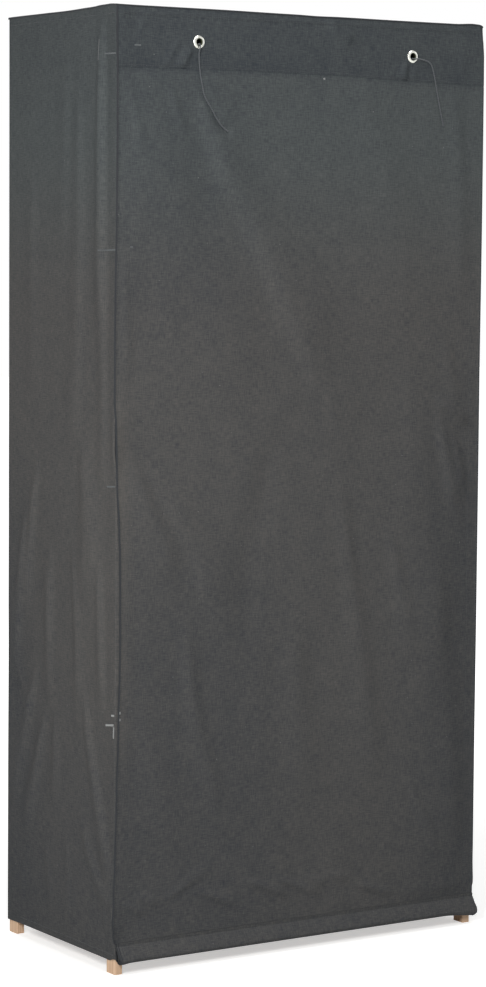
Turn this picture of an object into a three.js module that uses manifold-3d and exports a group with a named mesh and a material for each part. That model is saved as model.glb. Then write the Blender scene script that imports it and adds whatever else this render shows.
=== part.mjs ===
// A fabric wardrobe: a frame of pine laths under a sewn cloth cover, whose front rolls up and is tied.
// Lengths are in millimetres. X runs from left to right, Y from front to back and Z up from the floor.

import * as THREE from "three";
import { mergeVertices } from "three/addons/utils/BufferGeometryUtils.js";
import Module from "manifold-3d";

const wasm = await Module();
wasm.setup();

// Overall size, measured over the cloth and without the front hem
const width = 790;
const depth = 400;
const height = 1700;

// Fits
const clearance = 0.3; // between pieces that touch
const overrun = 1; // how far a cutting shape runs past the face it opens

// Posts: planed pine laths that also are the feet
const postWidth = 16; // along X
const postDepth = 30; // along Y
const easedEdge = 1.5; // planed off every long edge

// Rungs between the posts of one side, with stub tenons
const rungThickness = 12; // along X
const rungHeight = 30;
const tenonThickness = 6;
const tenonHeight = 20;
const tenonLength = 12;
const bottomRungLevel = 45; // middles of the rungs over the floor
const shelfRungLevel = 447;
const middleRungLevel = 868;
const upperRungLevel = 1280;
const railRungDrop = 80; // middle of the rung that carries the hanging rail, under the top
const railRungHeight = 44;

// Long rails between the two sides
const longRailThickness = 16; // along Y
const topRailHeight = 40;
const bottomRailHeight = 30;

// Countersunk wood screws that hold the long rails
const screwLength = 45;
const screwShankRadius = 2;
const screwTipLength = 6;
const screwHeadRadius = 4;
const screwHeadHeight = 2.4;
const screwRimHeight = 0.5;
const recessWidth = 1;
const recessLength = 4.6;
const recessDepth = 1.4;

// Hanging rail: a round bar in blind bores
const hangingRailRadius = 11;
const hangingRailBoreDepth = 8;
const hangingRailEndBevel = 1;

// Shelf slats, rebated over the rungs
const slatCount = 5;
const slatWidth = 40; // along Y
const slatThickness = 12;
const slatRebate = 4; // how far a slat drops between the rungs
const slatEasedEdge = 1;

// Cover
const clothThickness = 1.2;
const sideHemLevel = 24; // lower edge of the side and back panels over the floor
const headerHeight = 106; // band across the top of the front
const facingWidth = 38; // strip of cloth that turns in behind the front's side edges
const tapeWidth = 20; // hook-and-loop tape
const tapeThickness = 1.2;
const tapeInset = 4; // from the side panel's inner face
const tapeStart = 12; // from the ends of the rolling cover
const topEdgeSag = 0.6; // of the top's side edges between the posts
const topMiddleSag = 7;
const foldLift = 6; // how far the tallest fold stands out
const foldWidth = 40; // across the widest fold
const foldFade = 36; // strip along a panel's edges in which folds die out

// Hem of the rolling cover: a sleeve of cloth round a wooden rod
const hemLevel = 22.5; // its lowest line over the floor
const hemHeight = 35.5; // up to the line of stitches
const hemSeam = 6; // strip that the stitches close over the rod
const hemOverhang = 3; // past the cover's right edge
const hemRodRadius = 6;
const hemRodInset = 9; // the rod's ends inside the sleeve's

// Eyelets for the ties
const eyeletSpacing = 463;
const eyeletDrop = 59; // under the top, at the middle of the width
const eyeletSlant = 3.5; // how far the left eyelet sits over the middle's level, and the right one under it
const eyeletBoreRadius = 5.25;
const eyeletRadius = 11.5;
const eyeletCrown = 2; // how far the front flange stands out
const eyeletWall = 0.9;
const eyeletRimHeight = 0.4;
const washerThickness = 1;
const cordRadius = 1.25;

// Numbers of facets
const quarterTurn = Math.PI / 2;
const smallRoundSegments = 12;
const roundSegments = 20;
const railSegments = 28;
const tenonArcSegments = 4;
const hemArcSegments = 8;
const crownArcSegments = 5;
const cordSides = 8;
const cordSteps = 36;
const clothGrids = { top: [12, 8], side: [20, 16], back: [20, 12], cover: [28, 20] }; // columns, rows

// Levels and faces that several pieces share
const underTop = height - clothThickness - clearance; // tops of posts and upright panels
const postOuterX = width / 2 - clothThickness - clearance;
const postX = postOuterX - postWidth / 2;
const railRungLevel = height - railRungDrop;
const seamLevel = height - headerHeight; // where the rolling cover is sewn to the header
const hemTop = hemLevel + hemHeight;
const coverY = -depth / 2; // front faces, from the outside in
const loopTapeY = coverY + clothThickness + clearance;
const hookTapeY = loopTapeY + tapeThickness + clearance;
const facingY = hookTapeY + tapeThickness + clearance;
const postFrontY = facingY + clothThickness + clearance;
const postBackY = depth / 2 - clothThickness - clearance;
const bayFrontY = postFrontY + postDepth; // the bay is the space between front and back posts
const bayBackY = postBackY - postDepth;
const bayMiddleY = (bayFrontY + bayBackY) / 2;
const bayDepth = bayBackY - bayFrontY;
const hemOuterRadius = hemRodRadius + clearance + clothThickness;
const hemMiddleY = coverY + clothThickness - hemOuterRadius;
const hemFrontY = hemMiddleY - hemOuterRadius;

// Folds of the hanging cloth. Each row is one fold: where it starts and ends, as shares across and up
// the panel seen from outside, then its width and its height as shares of foldWidth and foldLift.
const coverFoldShares = [
  [0.205, 0.985, 0.3, 0.865, 0.7, 0.3],
  [0.27, 0.9, 0.56, 0.64, 1, 1],
  [0.03, 0.535, 0.115, 0.44, 0.5, -0.4],
  [0.06, 0.55, 0.15, 0.43, 0.6, 0.5],
  [0.61, 0.47, 0.68, 0.22, 0.8, 0.7],
  [0.765, 0.4, 0.8, 0.3, 0.7, 0.5],
  [0.185, 0.32, 0.29, 0.13, 0.8, 0.6],
  [0.86, 0.66, 0.92, 0.06, 1, 0.6],
  [0.93, 0.6, 0.955, 0.08, 0.7, -0.3],
];
const leftFoldShares = [
  [0.8625, 0.99, 0.866, 0.6, 0.42, 0.9],
  [0.669, 0.9, 0.67, 0.64, 0.5, 0.45],
  [0.815, 0.53, 0.8525, 0.26, 0.5, 0.7],
  [0.74, 0.28, 0.93, 0.06, 0.45, 0.65],
  [0.4175, 0.43, 0.42, 0.24, 0.5, 0.5],
  [0.2575, 0.49, 0.08, 0.3, 0.5, 0.4],
  [0.26, 0.27, 0.09, 0.12, 0.5, 0.4],
];
const rightFoldShares = [
  [0.14, 0.98, 0.15, 0.55, 0.5, 0.8],
  [0.36, 0.85, 0.34, 0.6, 0.5, 0.4],
  [0.22, 0.5, 0.16, 0.2, 0.5, 0.65],
  [0.55, 0.42, 0.6, 0.22, 0.5, 0.5],
  [0.75, 0.52, 0.9, 0.3, 0.5, 0.45],
  [0.72, 0.28, 0.9, 0.1, 0.5, 0.4],
];
const backFoldShares = [
  [0.12, 0.94, 0.13, 0.45, 0.7, 0.6],
  [0.3, 0.75, 0.42, 0.35, 0.9, 0.6],
  [0.62, 0.6, 0.55, 0.2, 0.9, 0.5],
  [0.86, 0.9, 0.84, 0.5, 0.7, 0.6],
  [0.8, 0.4, 0.9, 0.12, 0.7, 0.5],
];
const foldEndShare = 0.3; // of a fold's length, over which it rises or dies out

// Routes of the tie cords from the middle of each eyelet, chosen by hand: in front and inside
const leftCordRoute = [
  [-231.5, -199.7, 1640.8],
  [-231.6, -202.6, 1640.9],
  [-232, -205, 1638.3],
  [-232.4, -204.7, 1632],
  [-232.6, -202.4, 1623],
  [-231.6, -201.7, 1608],
  [-229.4, -201.7, 1589],
  [-225.2, -202.1, 1568],
  [-221.6, -202.5, 1553],
  [-214.2, -202.7, 1540.5],
  [-205.2, -202.9, 1527.5],
  [-196.4, -202.9, 1513.5],
  [-187.4, -202.6, 1502.5],
  [-178.8, -202.4, 1495],
  [-171, -202.3, 1490.5],
];
const rightCordRoute = [
  [231.5, -199.7, 1633.8],
  [232.4, -202.4, 1633.7],
  [236, -204.4, 1633.6],
  [242, -204.4, 1633.5],
  [248.6, -203, 1633.2],
  [257, -202.1, 1631.8],
  [265.6, -201.7, 1629.6],
  [272.4, -201.6, 1625.4],
  [277, -201.6, 1616],
  [280.8, -201.6, 1602],
  [284.6, -201.6, 1586],
  [288.8, -201.6, 1568],
  [293.2, -201.6, 1549],
  [298, -201.6, 1530],
  [302.4, -201.6, 1512.5],
];
const leftInnerCordRoute = [
  [-231.5, -199.3, 1640.8],
  [-231.5, -196.4, 1640.9],
  [-231.4, -193.6, 1638.9],
  [-231, -193.4, 1632.5],
  [-230.6, -194.9, 1623],
  [-231.4, -196.7, 1608],
  [-234.2, -196.9, 1589],
  [-237, -196.8, 1566],
  [-238, -196.6, 1544],
  [-236, -196.4, 1522],
  [-233.4, -196.4, 1502],
  [-232.4, -196.4, 1486],
];
const rightInnerCordRoute = [
  [231.5, -199.3, 1633.8],
  [231.5, -196.4, 1633.9],
  [231.8, -193.6, 1631.9],
  [232, -193.4, 1625.5],
  [232.6, -194.9, 1617],
  [233.6, -196.7, 1604],
  [236.4, -196.9, 1587],
  [237.4, -196.8, 1566],
  [235.2, -196.6, 1544],
  [232.2, -196.4, 1522],
  [231.4, -196.4, 1502],
  [233.2, -196.4, 1479],
];

// Materials

const pine = new THREE.MeshStandardMaterial({ color: 0xdbb68d, roughness: 0.62, metalness: 0 });
const clothMaterial = new THREE.MeshStandardMaterial({ color: 0x505254, roughness: 0.95, metalness: 0 });
const tapeMaterial = new THREE.MeshStandardMaterial({ color: 0x26282a, roughness: 0.9, metalness: 0 });
const nickel = new THREE.MeshStandardMaterial({ color: 0xd8d4c8, roughness: 0.25, metalness: 1 });
const zincSteel = new THREE.MeshStandardMaterial({ color: 0xb9bcc0, roughness: 0.4, metalness: 1 });
const cordMaterial = new THREE.MeshStandardMaterial({ color: 0x4a4d50, roughness: 0.9, metalness: 0 });

// Solids

/** The manifold solid of a closed geometry. */
function solidOf(geometry) {
  const bare = geometry.clone();
  bare.deleteAttribute("normal");
  bare.deleteAttribute("uv");
  const merged = mergeVertices(bare);
  return new wasm.Manifold(
    new wasm.Mesh({
      numProp: 3,
      vertProperties: new Float32Array(merged.attributes.position.array),
      triVerts: new Uint32Array(merged.index.array),
    }),
  );
}

/** The geometry of a manifold solid. */
function geometryOf(solid) {
  const mesh = solid.getMesh();
  const geometry = new THREE.BufferGeometry();
  geometry.setAttribute("position", new THREE.BufferAttribute(mesh.vertProperties, mesh.numProp));
  geometry.setIndex(new THREE.BufferAttribute(mesh.triVerts, 1));
  geometry.computeVertexNormals();
  return geometry;
}

/** A geometry less the cutting shapes. */
function cut(geometry, cutters) {
  const rest = cutters.reduce((solid, cutter) => solid.subtract(solidOf(cutter)), solidOf(geometry));
  return geometryOf(rest);
}

/** Two geometries made one. */
function join(first, second) {
  return geometryOf(solidOf(first).add(solidOf(second)));
}

/** Turns an extrusion so that its outline lies in X and Z and it runs along Y, with its middle at 0. */
function alongY(geometry, length) {
  return geometry.rotateX(quarterTurn).translate(0, length / 2, 0);
}

/** Turns an extrusion so that its outline lies in Y and Z and it runs along X, with its middle at 0. */
function alongX(geometry, length) {
  return geometry.rotateX(quarterTurn).rotateZ(quarterTurn).translate(-length / 2, 0, 0);
}

/** A mesh at its place, under its name. */
function piece(name, geometry, material, x, y, z) {
  const mesh = new THREE.Mesh(geometry, material);
  mesh.name = name;
  mesh.position.set(x, y, z);
  return mesh;
}

/** Calls make for the left and the right side. */
function bothSides(make) {
  return [["left", -1], ["right", 1]].flatMap(([sideName, side]) => make(sideName, side));
}

// Outlines

/** A rectangle about its middle with its corners planed off. */
function easedRectangle(across, up, ease) {
  const shape = new THREE.Shape();
  shape.moveTo(-across / 2 + ease, -up / 2);
  shape.lineTo(across / 2 - ease, -up / 2);
  shape.lineTo(across / 2, -up / 2 + ease);
  shape.lineTo(across / 2, up / 2 - ease);
  shape.lineTo(across / 2 - ease, up / 2);
  shape.lineTo(-across / 2 + ease, up / 2);
  shape.lineTo(-across / 2, up / 2 - ease);
  shape.lineTo(-across / 2, -up / 2 + ease);
  return shape;
}

/** An upright slot with round ends, about its middle. */
function slotOutline(across, up) {
  const radius = across / 2;
  const straight = up / 2 - radius;
  const shape = new THREE.Shape();
  shape.moveTo(radius, -straight);
  shape.lineTo(radius, straight);
  shape.absarc(0, straight, radius, 0, Math.PI);
  shape.lineTo(-radius, -straight);
  shape.absarc(0, -straight, radius, Math.PI, 2 * Math.PI);
  return shape;
}

/** A rectangle of cloth or tape about its middle. */
function rectangle(across, up) {
  const shape = new THREE.Shape();
  shape.moveTo(-across / 2, -up / 2);
  shape.lineTo(across / 2, -up / 2);
  shape.lineTo(across / 2, up / 2);
  shape.lineTo(-across / 2, up / 2);
  return shape;
}

function extruded(shape, length, curveSegments) {
  return new THREE.ExtrudeGeometry(shape, { depth: length, bevelEnabled: false, curveSegments });
}

// Screws

/** A screw's outline, from the tip up to the head, with its head's top at 0 and a margin all round. */
function screwOutline(margin, rise) {
  return [
    new THREE.Vector2(0, -screwLength - margin),
    new THREE.Vector2(screwShankRadius + margin, -screwLength + screwTipLength),
    new THREE.Vector2(screwShankRadius + margin, -screwHeadHeight - margin),
    new THREE.Vector2(screwHeadRadius + margin, -screwRimHeight - margin),
    new THREE.Vector2(screwHeadRadius + margin, rise),
    new THREE.Vector2(0, rise),
  ];
}

/** Lays a screw along X with its head on the outside of a side. */
function turnedToSide(geometry, side) {
  return geometry.rotateZ(-side * quarterTurn);
}

function screwGeometry(side) {
  const body = new THREE.LatheGeometry(screwOutline(0, 0), smallRoundSegments);
  const slots = [
    new THREE.BoxGeometry(recessLength, 2 * recessDepth, recessWidth),
    new THREE.BoxGeometry(recessWidth, 2 * recessDepth, recessLength),
  ];
  return turnedToSide(cut(body, slots), side);
}

/** The hole for a screw whose head's top lies at X, in a piece that spans that place. */
function screwHole(side, x, y, z) {
  const hole = new THREE.LatheGeometry(screwOutline(clearance, overrun), smallRoundSegments);
  return turnedToSide(hole, side).translate(x, y, z);
}

const screwHeadX = postOuterX - clearance;
const longRailLevels = {
  top: underTop - topRailHeight / 2,
  bottom: bottomRungLevel,
};
const longRailHeights = { top: topRailHeight, bottom: bottomRailHeight };
const longRailYs = {
  front: postFrontY + longRailThickness / 2,
  back: postBackY - longRailThickness / 2,
};

// Posts, rungs and rails

const postYs = { front: postFrontY + postDepth / 2, back: postBackY - postDepth / 2 };

const rungs = [
  { name: "bottom_rung", level: bottomRungLevel, height: rungHeight },
  { name: "shelf_rung", level: shelfRungLevel, height: rungHeight },
  { name: "middle_rung", level: middleRungLevel, height: rungHeight },
  { name: "upper_rung", level: upperRungLevel, height: rungHeight },
  { name: "rail_rung", level: railRungLevel, height: railRungHeight },
];

/** A mortise for a rung's tenon, open towards the bay. */
function mortise(row, level) {
  const inward = row === "front" ? 1 : -1;
  const length = tenonLength + clearance + overrun;
  const outline = slotOutline(tenonThickness + 2 * clearance, tenonHeight + 2 * clearance);
  const hole = alongY(extruded(outline, length, tenonArcSegments), length);
  return hole.translate(0, inward * (postDepth / 2 + overrun - length / 2), level);
}

function postGeometry(side, row) {
  const blank = extruded(easedRectangle(postWidth, postDepth, easedEdge), underTop, 1);
  const mortises = rungs.map((rung) => mortise(row, rung.level));
  const holes = Object.values(longRailLevels).map((level) =>
    screwHole(side, side * (screwHeadX - postX), longRailYs[row] - postYs[row], level),
  );
  return cut(blank, [...mortises, ...holes]);
}

function posts() {
  return bothSides((sideName, side) =>
    Object.keys(postYs).map((row) =>
      piece(`${row}_${sideName}_post`, postGeometry(side, row), pine, side * postX, postYs[row], 0),
    ),
  );
}

/** A lath between two posts with a stub tenon at each end, and a blind bore where it holds the rail. */
function rungGeometry(rung, side) {
  const shoulderLength = bayDepth - 2 * clearance;
  const tenonedLength = shoulderLength + 2 * tenonLength;
  const outline = easedRectangle(rungThickness, rung.height, easedEdge);
  const lath = alongY(extruded(outline, shoulderLength, 1), shoulderLength);
  const tenonShape = extruded(slotOutline(tenonThickness, tenonHeight), tenonedLength, tenonArcSegments);
  const tenoned = join(lath, alongY(tenonShape, tenonedLength));
  if (rung.level !== railRungLevel) {
    return tenoned;
  }
  const bore = new THREE.CylinderGeometry(
    hangingRailRadius + clearance,
    hangingRailRadius + clearance,
    2 * hangingRailBoreDepth,
    railSegments,
  );
  bore.rotateZ(quarterTurn).translate((-side * rungThickness) / 2, 0, 0);
  return cut(tenoned, [bore]);
}

function sideRungs() {
  return bothSides((sideName, side) =>
    rungs.map((rung) =>
      piece(`${sideName}_${rung.name}`, rungGeometry(rung, side), pine, side * postX, bayMiddleY, rung.level),
    ),
  );
}

function longRailGeometry(levelName) {
  const length = 2 * (postOuterX - postWidth - clearance);
  const outline = easedRectangle(longRailThickness, longRailHeights[levelName], easedEdge);
  const lath = alongX(extruded(outline, length, 1), length);
  return cut(lath, [screwHole(-1, -screwHeadX, 0, 0), screwHole(1, screwHeadX, 0, 0)]);
}

function longRails() {
  return Object.entries(longRailLevels).flatMap(([levelName, level]) =>
    Object.entries(longRailYs).map(([row, y]) =>
      piece(`${levelName}_${row}_rail`, longRailGeometry(levelName), pine, 0, y, level),
    ),
  );
}

function railScrews() {
  return bothSides((sideName, side) =>
    Object.entries(longRailLevels).flatMap(([levelName, level]) =>
      Object.entries(longRailYs).map(([row, y]) =>
        piece(
          `${levelName}_${row}_${sideName}_screw`, screwGeometry(side), zincSteel,
          side * screwHeadX, y, level,
        ),
      ),
    ),
  );
}

function hangingRail() {
  const boreBottomX = postX - rungThickness / 2 + hangingRailBoreDepth;
  const halfLength = boreBottomX - clearance;
  const profile = [
    new THREE.Vector2(0, -halfLength),
    new THREE.Vector2(hangingRailRadius - hangingRailEndBevel, -halfLength),
    new THREE.Vector2(hangingRailRadius, -halfLength + hangingRailEndBevel),
    new THREE.Vector2(hangingRailRadius, halfLength - hangingRailEndBevel),
    new THREE.Vector2(hangingRailRadius - hangingRailEndBevel, halfLength),
    new THREE.Vector2(0, halfLength),
  ];
  const geometry = new THREE.LatheGeometry(profile, railSegments).rotateZ(quarterTurn);
  return piece("hanging_rail", geometry, pine, 0, bayMiddleY, railRungLevel);
}

/** A slat whose ends are cut thinner to lie on the rungs, so that it also keeps the sides apart. */
function slatGeometry() {
  const endX = postX + rungThickness / 2;
  const rebateX = postX - rungThickness / 2 - clearance;
  const restThickness = slatThickness - slatRebate;
  const shape = new THREE.Shape();
  shape.moveTo(-rebateX, -slatRebate);
  shape.lineTo(rebateX, -slatRebate);
  shape.lineTo(rebateX, 0);
  shape.lineTo(endX, 0);
  shape.lineTo(endX, restThickness - slatEasedEdge);
  shape.lineTo(endX - slatEasedEdge, restThickness);
  shape.lineTo(-endX + slatEasedEdge, restThickness);
  shape.lineTo(-endX, restThickness - slatEasedEdge);
  shape.lineTo(-endX, 0);
  shape.lineTo(-rebateX, 0);
  return alongY(extruded(shape, slatWidth, 1), slatWidth);
}

function shelf(shelfName, rungLevel) {
  const gap = (bayDepth - slatCount * slatWidth) / (slatCount + 1);
  const restLevel = rungLevel + rungHeight / 2 + clearance;
  return Array.from({ length: slatCount }, (_, i) => {
    const y = bayFrontY + gap + slatWidth / 2 + i * (slatWidth + gap);
    return piece(`${shelfName}_slat_${i + 1}`, slatGeometry(), pine, 0, y, restLevel);
  });
}

// Cloth

/** Rises smoothly from 0 to 1 as value goes from 0 to span. */
function rise(value, span) {
  return THREE.MathUtils.smoothstep(value, 0, span);
}

/** How far the cloth stands out at a place on a panel whose side edges are held flat. */
function foldHeightAt(foldShares, panelWidth, panelHeight, heldEdge, across, up) {
  const x = across * panelWidth;
  const z = up * panelHeight;
  let lift = 0;
  for (const [fromAcross, fromUp, toAcross, toUp, widthShare, liftShare] of foldShares) {
    const startX = fromAcross * panelWidth;
    const startZ = fromUp * panelHeight;
    const runX = toAcross * panelWidth - startX;
    const runZ = toUp * panelHeight - startZ;
    const run = Math.hypot(runX, runZ);
    const along = ((x - startX) * runX + (z - startZ) * runZ) / run;
    const aside = ((x - startX) * runZ - (z - startZ) * runX) / run;
    const spread = aside / (widthShare * foldWidth);
    const ends = rise(along, foldEndShare * run) * rise(run - along, foldEndShare * run);
    lift += liftShare * foldLift * Math.exp(-spread * spread) * ends;
  }
  const edge = Math.min(x, panelWidth - x) - heldEdge;
  const end = Math.min(z, panelHeight - z);
  return lift * rise(edge, foldFade) * rise(end, foldFade);
}

/** A closed cloth solid: an outer and an inner skin on one grid, joined round the edge. */
function clothGeometry([columns, rows], skinAt) {
  const positions = [];
  for (const skin of [0, 1]) {
    for (let row = 0; row <= rows; row++) {
      for (let column = 0; column <= columns; column++) {
        positions.push(...skinAt(column / columns, row / rows, skin));
      }
    }
  }
  const at = (skin, column, row) => (skin * (rows + 1) + row) * (columns + 1) + column;
  const index = [];
  const quad = (a, b, c, d) => index.push(a, b, c, a, c, d);
  for (let row = 0; row < rows; row++) {
    for (let column = 0; column < columns; column++) {
      const right = column + 1;
      const above = row + 1;
      quad(at(0, column, row), at(0, right, row), at(0, right, above), at(0, column, above));
      quad(at(1, column, row), at(1, column, above), at(1, right, above), at(1, right, row));
    }
  }
  for (let column = 0; column < columns; column++) {
    const right = column + 1;
    quad(at(0, column, 0), at(1, column, 0), at(1, right, 0), at(0, right, 0));
    quad(at(0, column, rows), at(0, right, rows), at(1, right, rows), at(1, column, rows));
  }
  for (let row = 0; row < rows; row++) {
    const above = row + 1;
    quad(at(0, 0, row), at(0, 0, above), at(1, 0, above), at(1, 0, row));
    quad(at(0, columns, row), at(1, columns, row), at(1, columns, above), at(0, columns, above));
  }
  const geometry = new THREE.BufferGeometry();
  geometry.setAttribute("position", new THREE.Float32BufferAttribute(positions, 3));
  geometry.setIndex(index);
  geometry.computeVertexNormals();
  return geometry;
}

/** How far the top panel sags at a place, given in X and Y: it lies on the front and back rails. */
function topSagAt(x, y) {
  const spanStart = postFrontY + longRailThickness;
  const spanEnd = postBackY - longRailThickness;
  const along = THREE.MathUtils.clamp((y - spanStart) / (spanEnd - spanStart), 0, 1);
  const middle = Math.cos((x / width) * Math.PI);
  return Math.sin(along * Math.PI) ** 2 * (topEdgeSag + (topMiddleSag - topEdgeSag) * middle);
}

function topPanel() {
  const geometry = clothGeometry(clothGrids.top, (across, up, skin) => {
    const x = (across - 0.5) * width;
    const y = (up - 0.5) * depth;
    return [x, y, -skin * clothThickness - topSagAt(x, y)];
  });
  return piece("top_panel", geometry, clothMaterial, 0, 0, height);
}

/** An upright panel about its lower middle, seen from outside, with the outside towards -Y. */
function uprightPanel(grid, panelWidth, panelHeight, heldEdge, foldShares, topDropAt) {
  return clothGeometry(grid, (across, up, skin) => {
    const lift = foldHeightAt(foldShares, panelWidth, panelHeight, heldEdge, across, up);
    const x = (across - 0.5) * panelWidth;
    const z = up * (panelHeight - topDropAt(x));
    return [x, skin * clothThickness - lift, z];
  });
}

const noDrop = () => 0;

function sidePanels() {
  const frontEdge = coverY + clothThickness + clearance;
  const backEdge = depth / 2;
  const panelWidth = backEdge - frontEdge;
  const panelHeight = underTop - sideHemLevel;
  const middleY = (frontEdge + backEdge) / 2;
  return bothSides((sideName, side) => {
    const foldShares = side < 0 ? leftFoldShares : rightFoldShares;
    const dropAt = (x) => topSagAt(width / 2, middleY + side * x);
    const geometry = uprightPanel(clothGrids.side, panelWidth, panelHeight, 0, foldShares, dropAt);
    geometry.rotateZ(side * quarterTurn);
    const name = `${sideName}_side_panel`;
    return piece(name, geometry, clothMaterial, (side * width) / 2, middleY, sideHemLevel);
  });
}

function backPanel() {
  const panelWidth = 2 * postOuterX;
  const panelHeight = underTop - sideHemLevel;
  const geometry = uprightPanel(clothGrids.back, panelWidth, panelHeight, 0, backFoldShares, noDrop);
  geometry.rotateZ(Math.PI);
  return piece("back_panel", geometry, clothMaterial, 0, depth / 2, sideHemLevel);
}

const eyeletLevelAt = (side) => height - eyeletDrop - side * eyeletSlant;
const barrelRadius = eyeletBoreRadius + eyeletWall;

/** The band over the rolling cover, with a hole for each eyelet's barrel. */
function frontHeader() {
  const bandHeight = underTop - seamLevel;
  const shape = rectangle(width, bandHeight);
  for (const side of [-1, 1]) {
    const hole = new THREE.Path();
    const holeUp = eyeletLevelAt(side) - seamLevel - bandHeight / 2;
    hole.absarc((side * eyeletSpacing) / 2, holeUp, barrelRadius + clearance, 0, 2 * Math.PI, true);
    shape.holes.push(hole);
  }
  const band = alongY(extruded(shape, clothThickness, roundSegments / 2), clothThickness);
  return piece(
    "front_header", band, clothMaterial, 0, coverY + clothThickness / 2, seamLevel + bandHeight / 2,
  );
}

/** The front that rolls up, from the seam under the header down to the hem. */
function frontCover() {
  const coverHeight = seamLevel - hemTop - 2 * clearance;
  const tapedEdge = width / 2 - postOuterX + tapeInset + tapeWidth;
  const geometry = uprightPanel(clothGrids.cover, width, coverHeight, tapedEdge, coverFoldShares, noDrop);
  return piece("front_cover", geometry, clothMaterial, 0, coverY, hemTop + clearance);
}

/** An upright strip of cloth or tape whose front face lies at Y, beside a side panel. */
function strip(name, material, side, stripWidth, thickness, inset, y, bottom, top) {
  const stripHeight = top - bottom;
  const geometry = alongY(extruded(rectangle(stripWidth, stripHeight), thickness, 1), thickness);
  const x = side * (postOuterX - inset - stripWidth / 2);
  return piece(name, geometry, material, x, y + thickness / 2, (bottom + top) / 2);
}

function facings() {
  return bothSides((sideName, side) =>
    strip(
      `${sideName}_facing`, clothMaterial, side, facingWidth, clothThickness,
      0, facingY, sideHemLevel, underTop,
    ),
  );
}

function closingTapes() {
  const bottom = hemTop + tapeStart;
  const top = seamLevel - tapeStart;
  const tapeYs = { hook: hookTapeY, loop: loopTapeY };
  return bothSides((sideName, side) =>
    Object.entries(tapeYs).map(([kind, y]) =>
      strip(
        `${sideName}_${kind}_tape`, tapeMaterial, side, tapeWidth, tapeThickness,
        tapeInset, y, bottom, top,
      ),
    ),
  );
}

// Hem

/** The outline of cloth drawn round a rod: a circle with a flat back, drawn up to a narrow top. */
function teardrop(radius, topHalfWidth, topUp) {
  const topAcross = topHalfWidth - radius;
  const reach = Math.hypot(radius - 2 * topHalfWidth, topUp);
  const towards = Math.atan2(topUp, 2 * topHalfWidth - radius);
  const touch = towards - Math.acos(radius / reach);
  const outline = new THREE.Path();
  outline.moveTo(-radius, topUp);
  outline.absarc(0, 0, radius, Math.PI, 2 * Math.PI + touch);
  outline.lineTo(topAcross + topHalfWidth, topUp);
  return outline;
}

function hemSleeve() {
  const length = width + hemOverhang;
  const topUp = hemTop - hemLevel - hemOuterRadius;
  const outer = teardrop(hemOuterRadius, clothThickness, topUp);
  const inner = teardrop(hemOuterRadius - clothThickness, clothThickness / 2, topUp - hemSeam);
  const shape = new THREE.Shape(outer.getPoints(hemArcSegments));
  shape.holes.push(new THREE.Path(inner.getPoints(hemArcSegments)));
  const geometry = extruded(shape, length, 1).rotateX(quarterTurn).rotateZ(-quarterTurn);
  geometry.translate(length / 2, 0, 0);
  return piece(
    "hem_sleeve", geometry, clothMaterial, hemOverhang / 2, hemMiddleY, hemLevel + hemOuterRadius,
  );
}

function hemRod() {
  const length = width + hemOverhang - 2 * hemRodInset;
  const geometry = new THREE.CylinderGeometry(hemRodRadius, hemRodRadius, length, roundSegments);
  geometry.rotateZ(quarterTurn);
  return piece("hem_rod", geometry, pine, hemOverhang / 2, hemMiddleY, hemLevel + hemOuterRadius);
}

// Eyelets and ties

/** An eyelet round Y: a crowned flange in front of the cloth, and a barrel through it and the washer. */
function eyeletGeometry() {
  const barrelEnd = clothThickness + 2 * clearance + washerThickness + eyeletWall;
  const flangeMiddle = (eyeletBoreRadius + eyeletRadius) / 2;
  const profile = new THREE.Path();
  profile.moveTo(eyeletBoreRadius, barrelEnd);
  profile.lineTo(eyeletBoreRadius, -clearance - eyeletRimHeight);
  profile.quadraticCurveTo(
    flangeMiddle, -2 * eyeletCrown, eyeletRadius, -clearance - eyeletRimHeight,
  );
  profile.lineTo(eyeletRadius, -clearance);
  profile.lineTo(barrelRadius, -clearance);
  profile.lineTo(barrelRadius, barrelEnd);
  profile.closePath();
  return new THREE.LatheGeometry(profile.getPoints(crownArcSegments), roundSegments);
}

function washerGeometry() {
  const inner = barrelRadius + clearance;
  const profile = [
    new THREE.Vector2(inner, washerThickness),
    new THREE.Vector2(inner, 0),
    new THREE.Vector2(eyeletRadius, 0),
    new THREE.Vector2(eyeletRadius, washerThickness),
    new THREE.Vector2(inner, washerThickness),
  ];
  return new THREE.LatheGeometry(profile, roundSegments);
}

function eyelets() {
  const washerY = coverY + clothThickness + clearance;
  return bothSides((sideName, side) => {
    const x = (side * eyeletSpacing) / 2;
    const level = eyeletLevelAt(side);
    return [
      piece(`${sideName}_eyelet`, eyeletGeometry(), nickel, x, coverY, level),
      piece(`${sideName}_eyelet_washer`, washerGeometry(), nickel, x, washerY, level),
    ];
  });
}

function cordGeometry(route) {
  const shape = new THREE.Shape();
  shape.absarc(0, 0, cordRadius, 0, 2 * Math.PI);
  const curve = new THREE.CatmullRomCurve3(route.map((point) => new THREE.Vector3(...point)));
  return new THREE.ExtrudeGeometry(shape, {
    extrudePath: curve,
    steps: cordSteps,
    curveSegments: cordSides / 2,
  });
}

function tieCords() {
  return [
    piece("left_tie_cord", cordGeometry(leftCordRoute), cordMaterial, 0, 0, 0),
    piece("right_tie_cord", cordGeometry(rightCordRoute), cordMaterial, 0, 0, 0),
    piece("left_tie_cord_inner", cordGeometry(leftInnerCordRoute), cordMaterial, 0, 0, 0),
    piece("right_tie_cord_inner", cordGeometry(rightInnerCordRoute), cordMaterial, 0, 0, 0),
  ];
}

// Assembly

function groupOf(...pieces) {
  const group = new THREE.Group();
  group.add(...pieces.flat());
  return group;
}

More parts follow.
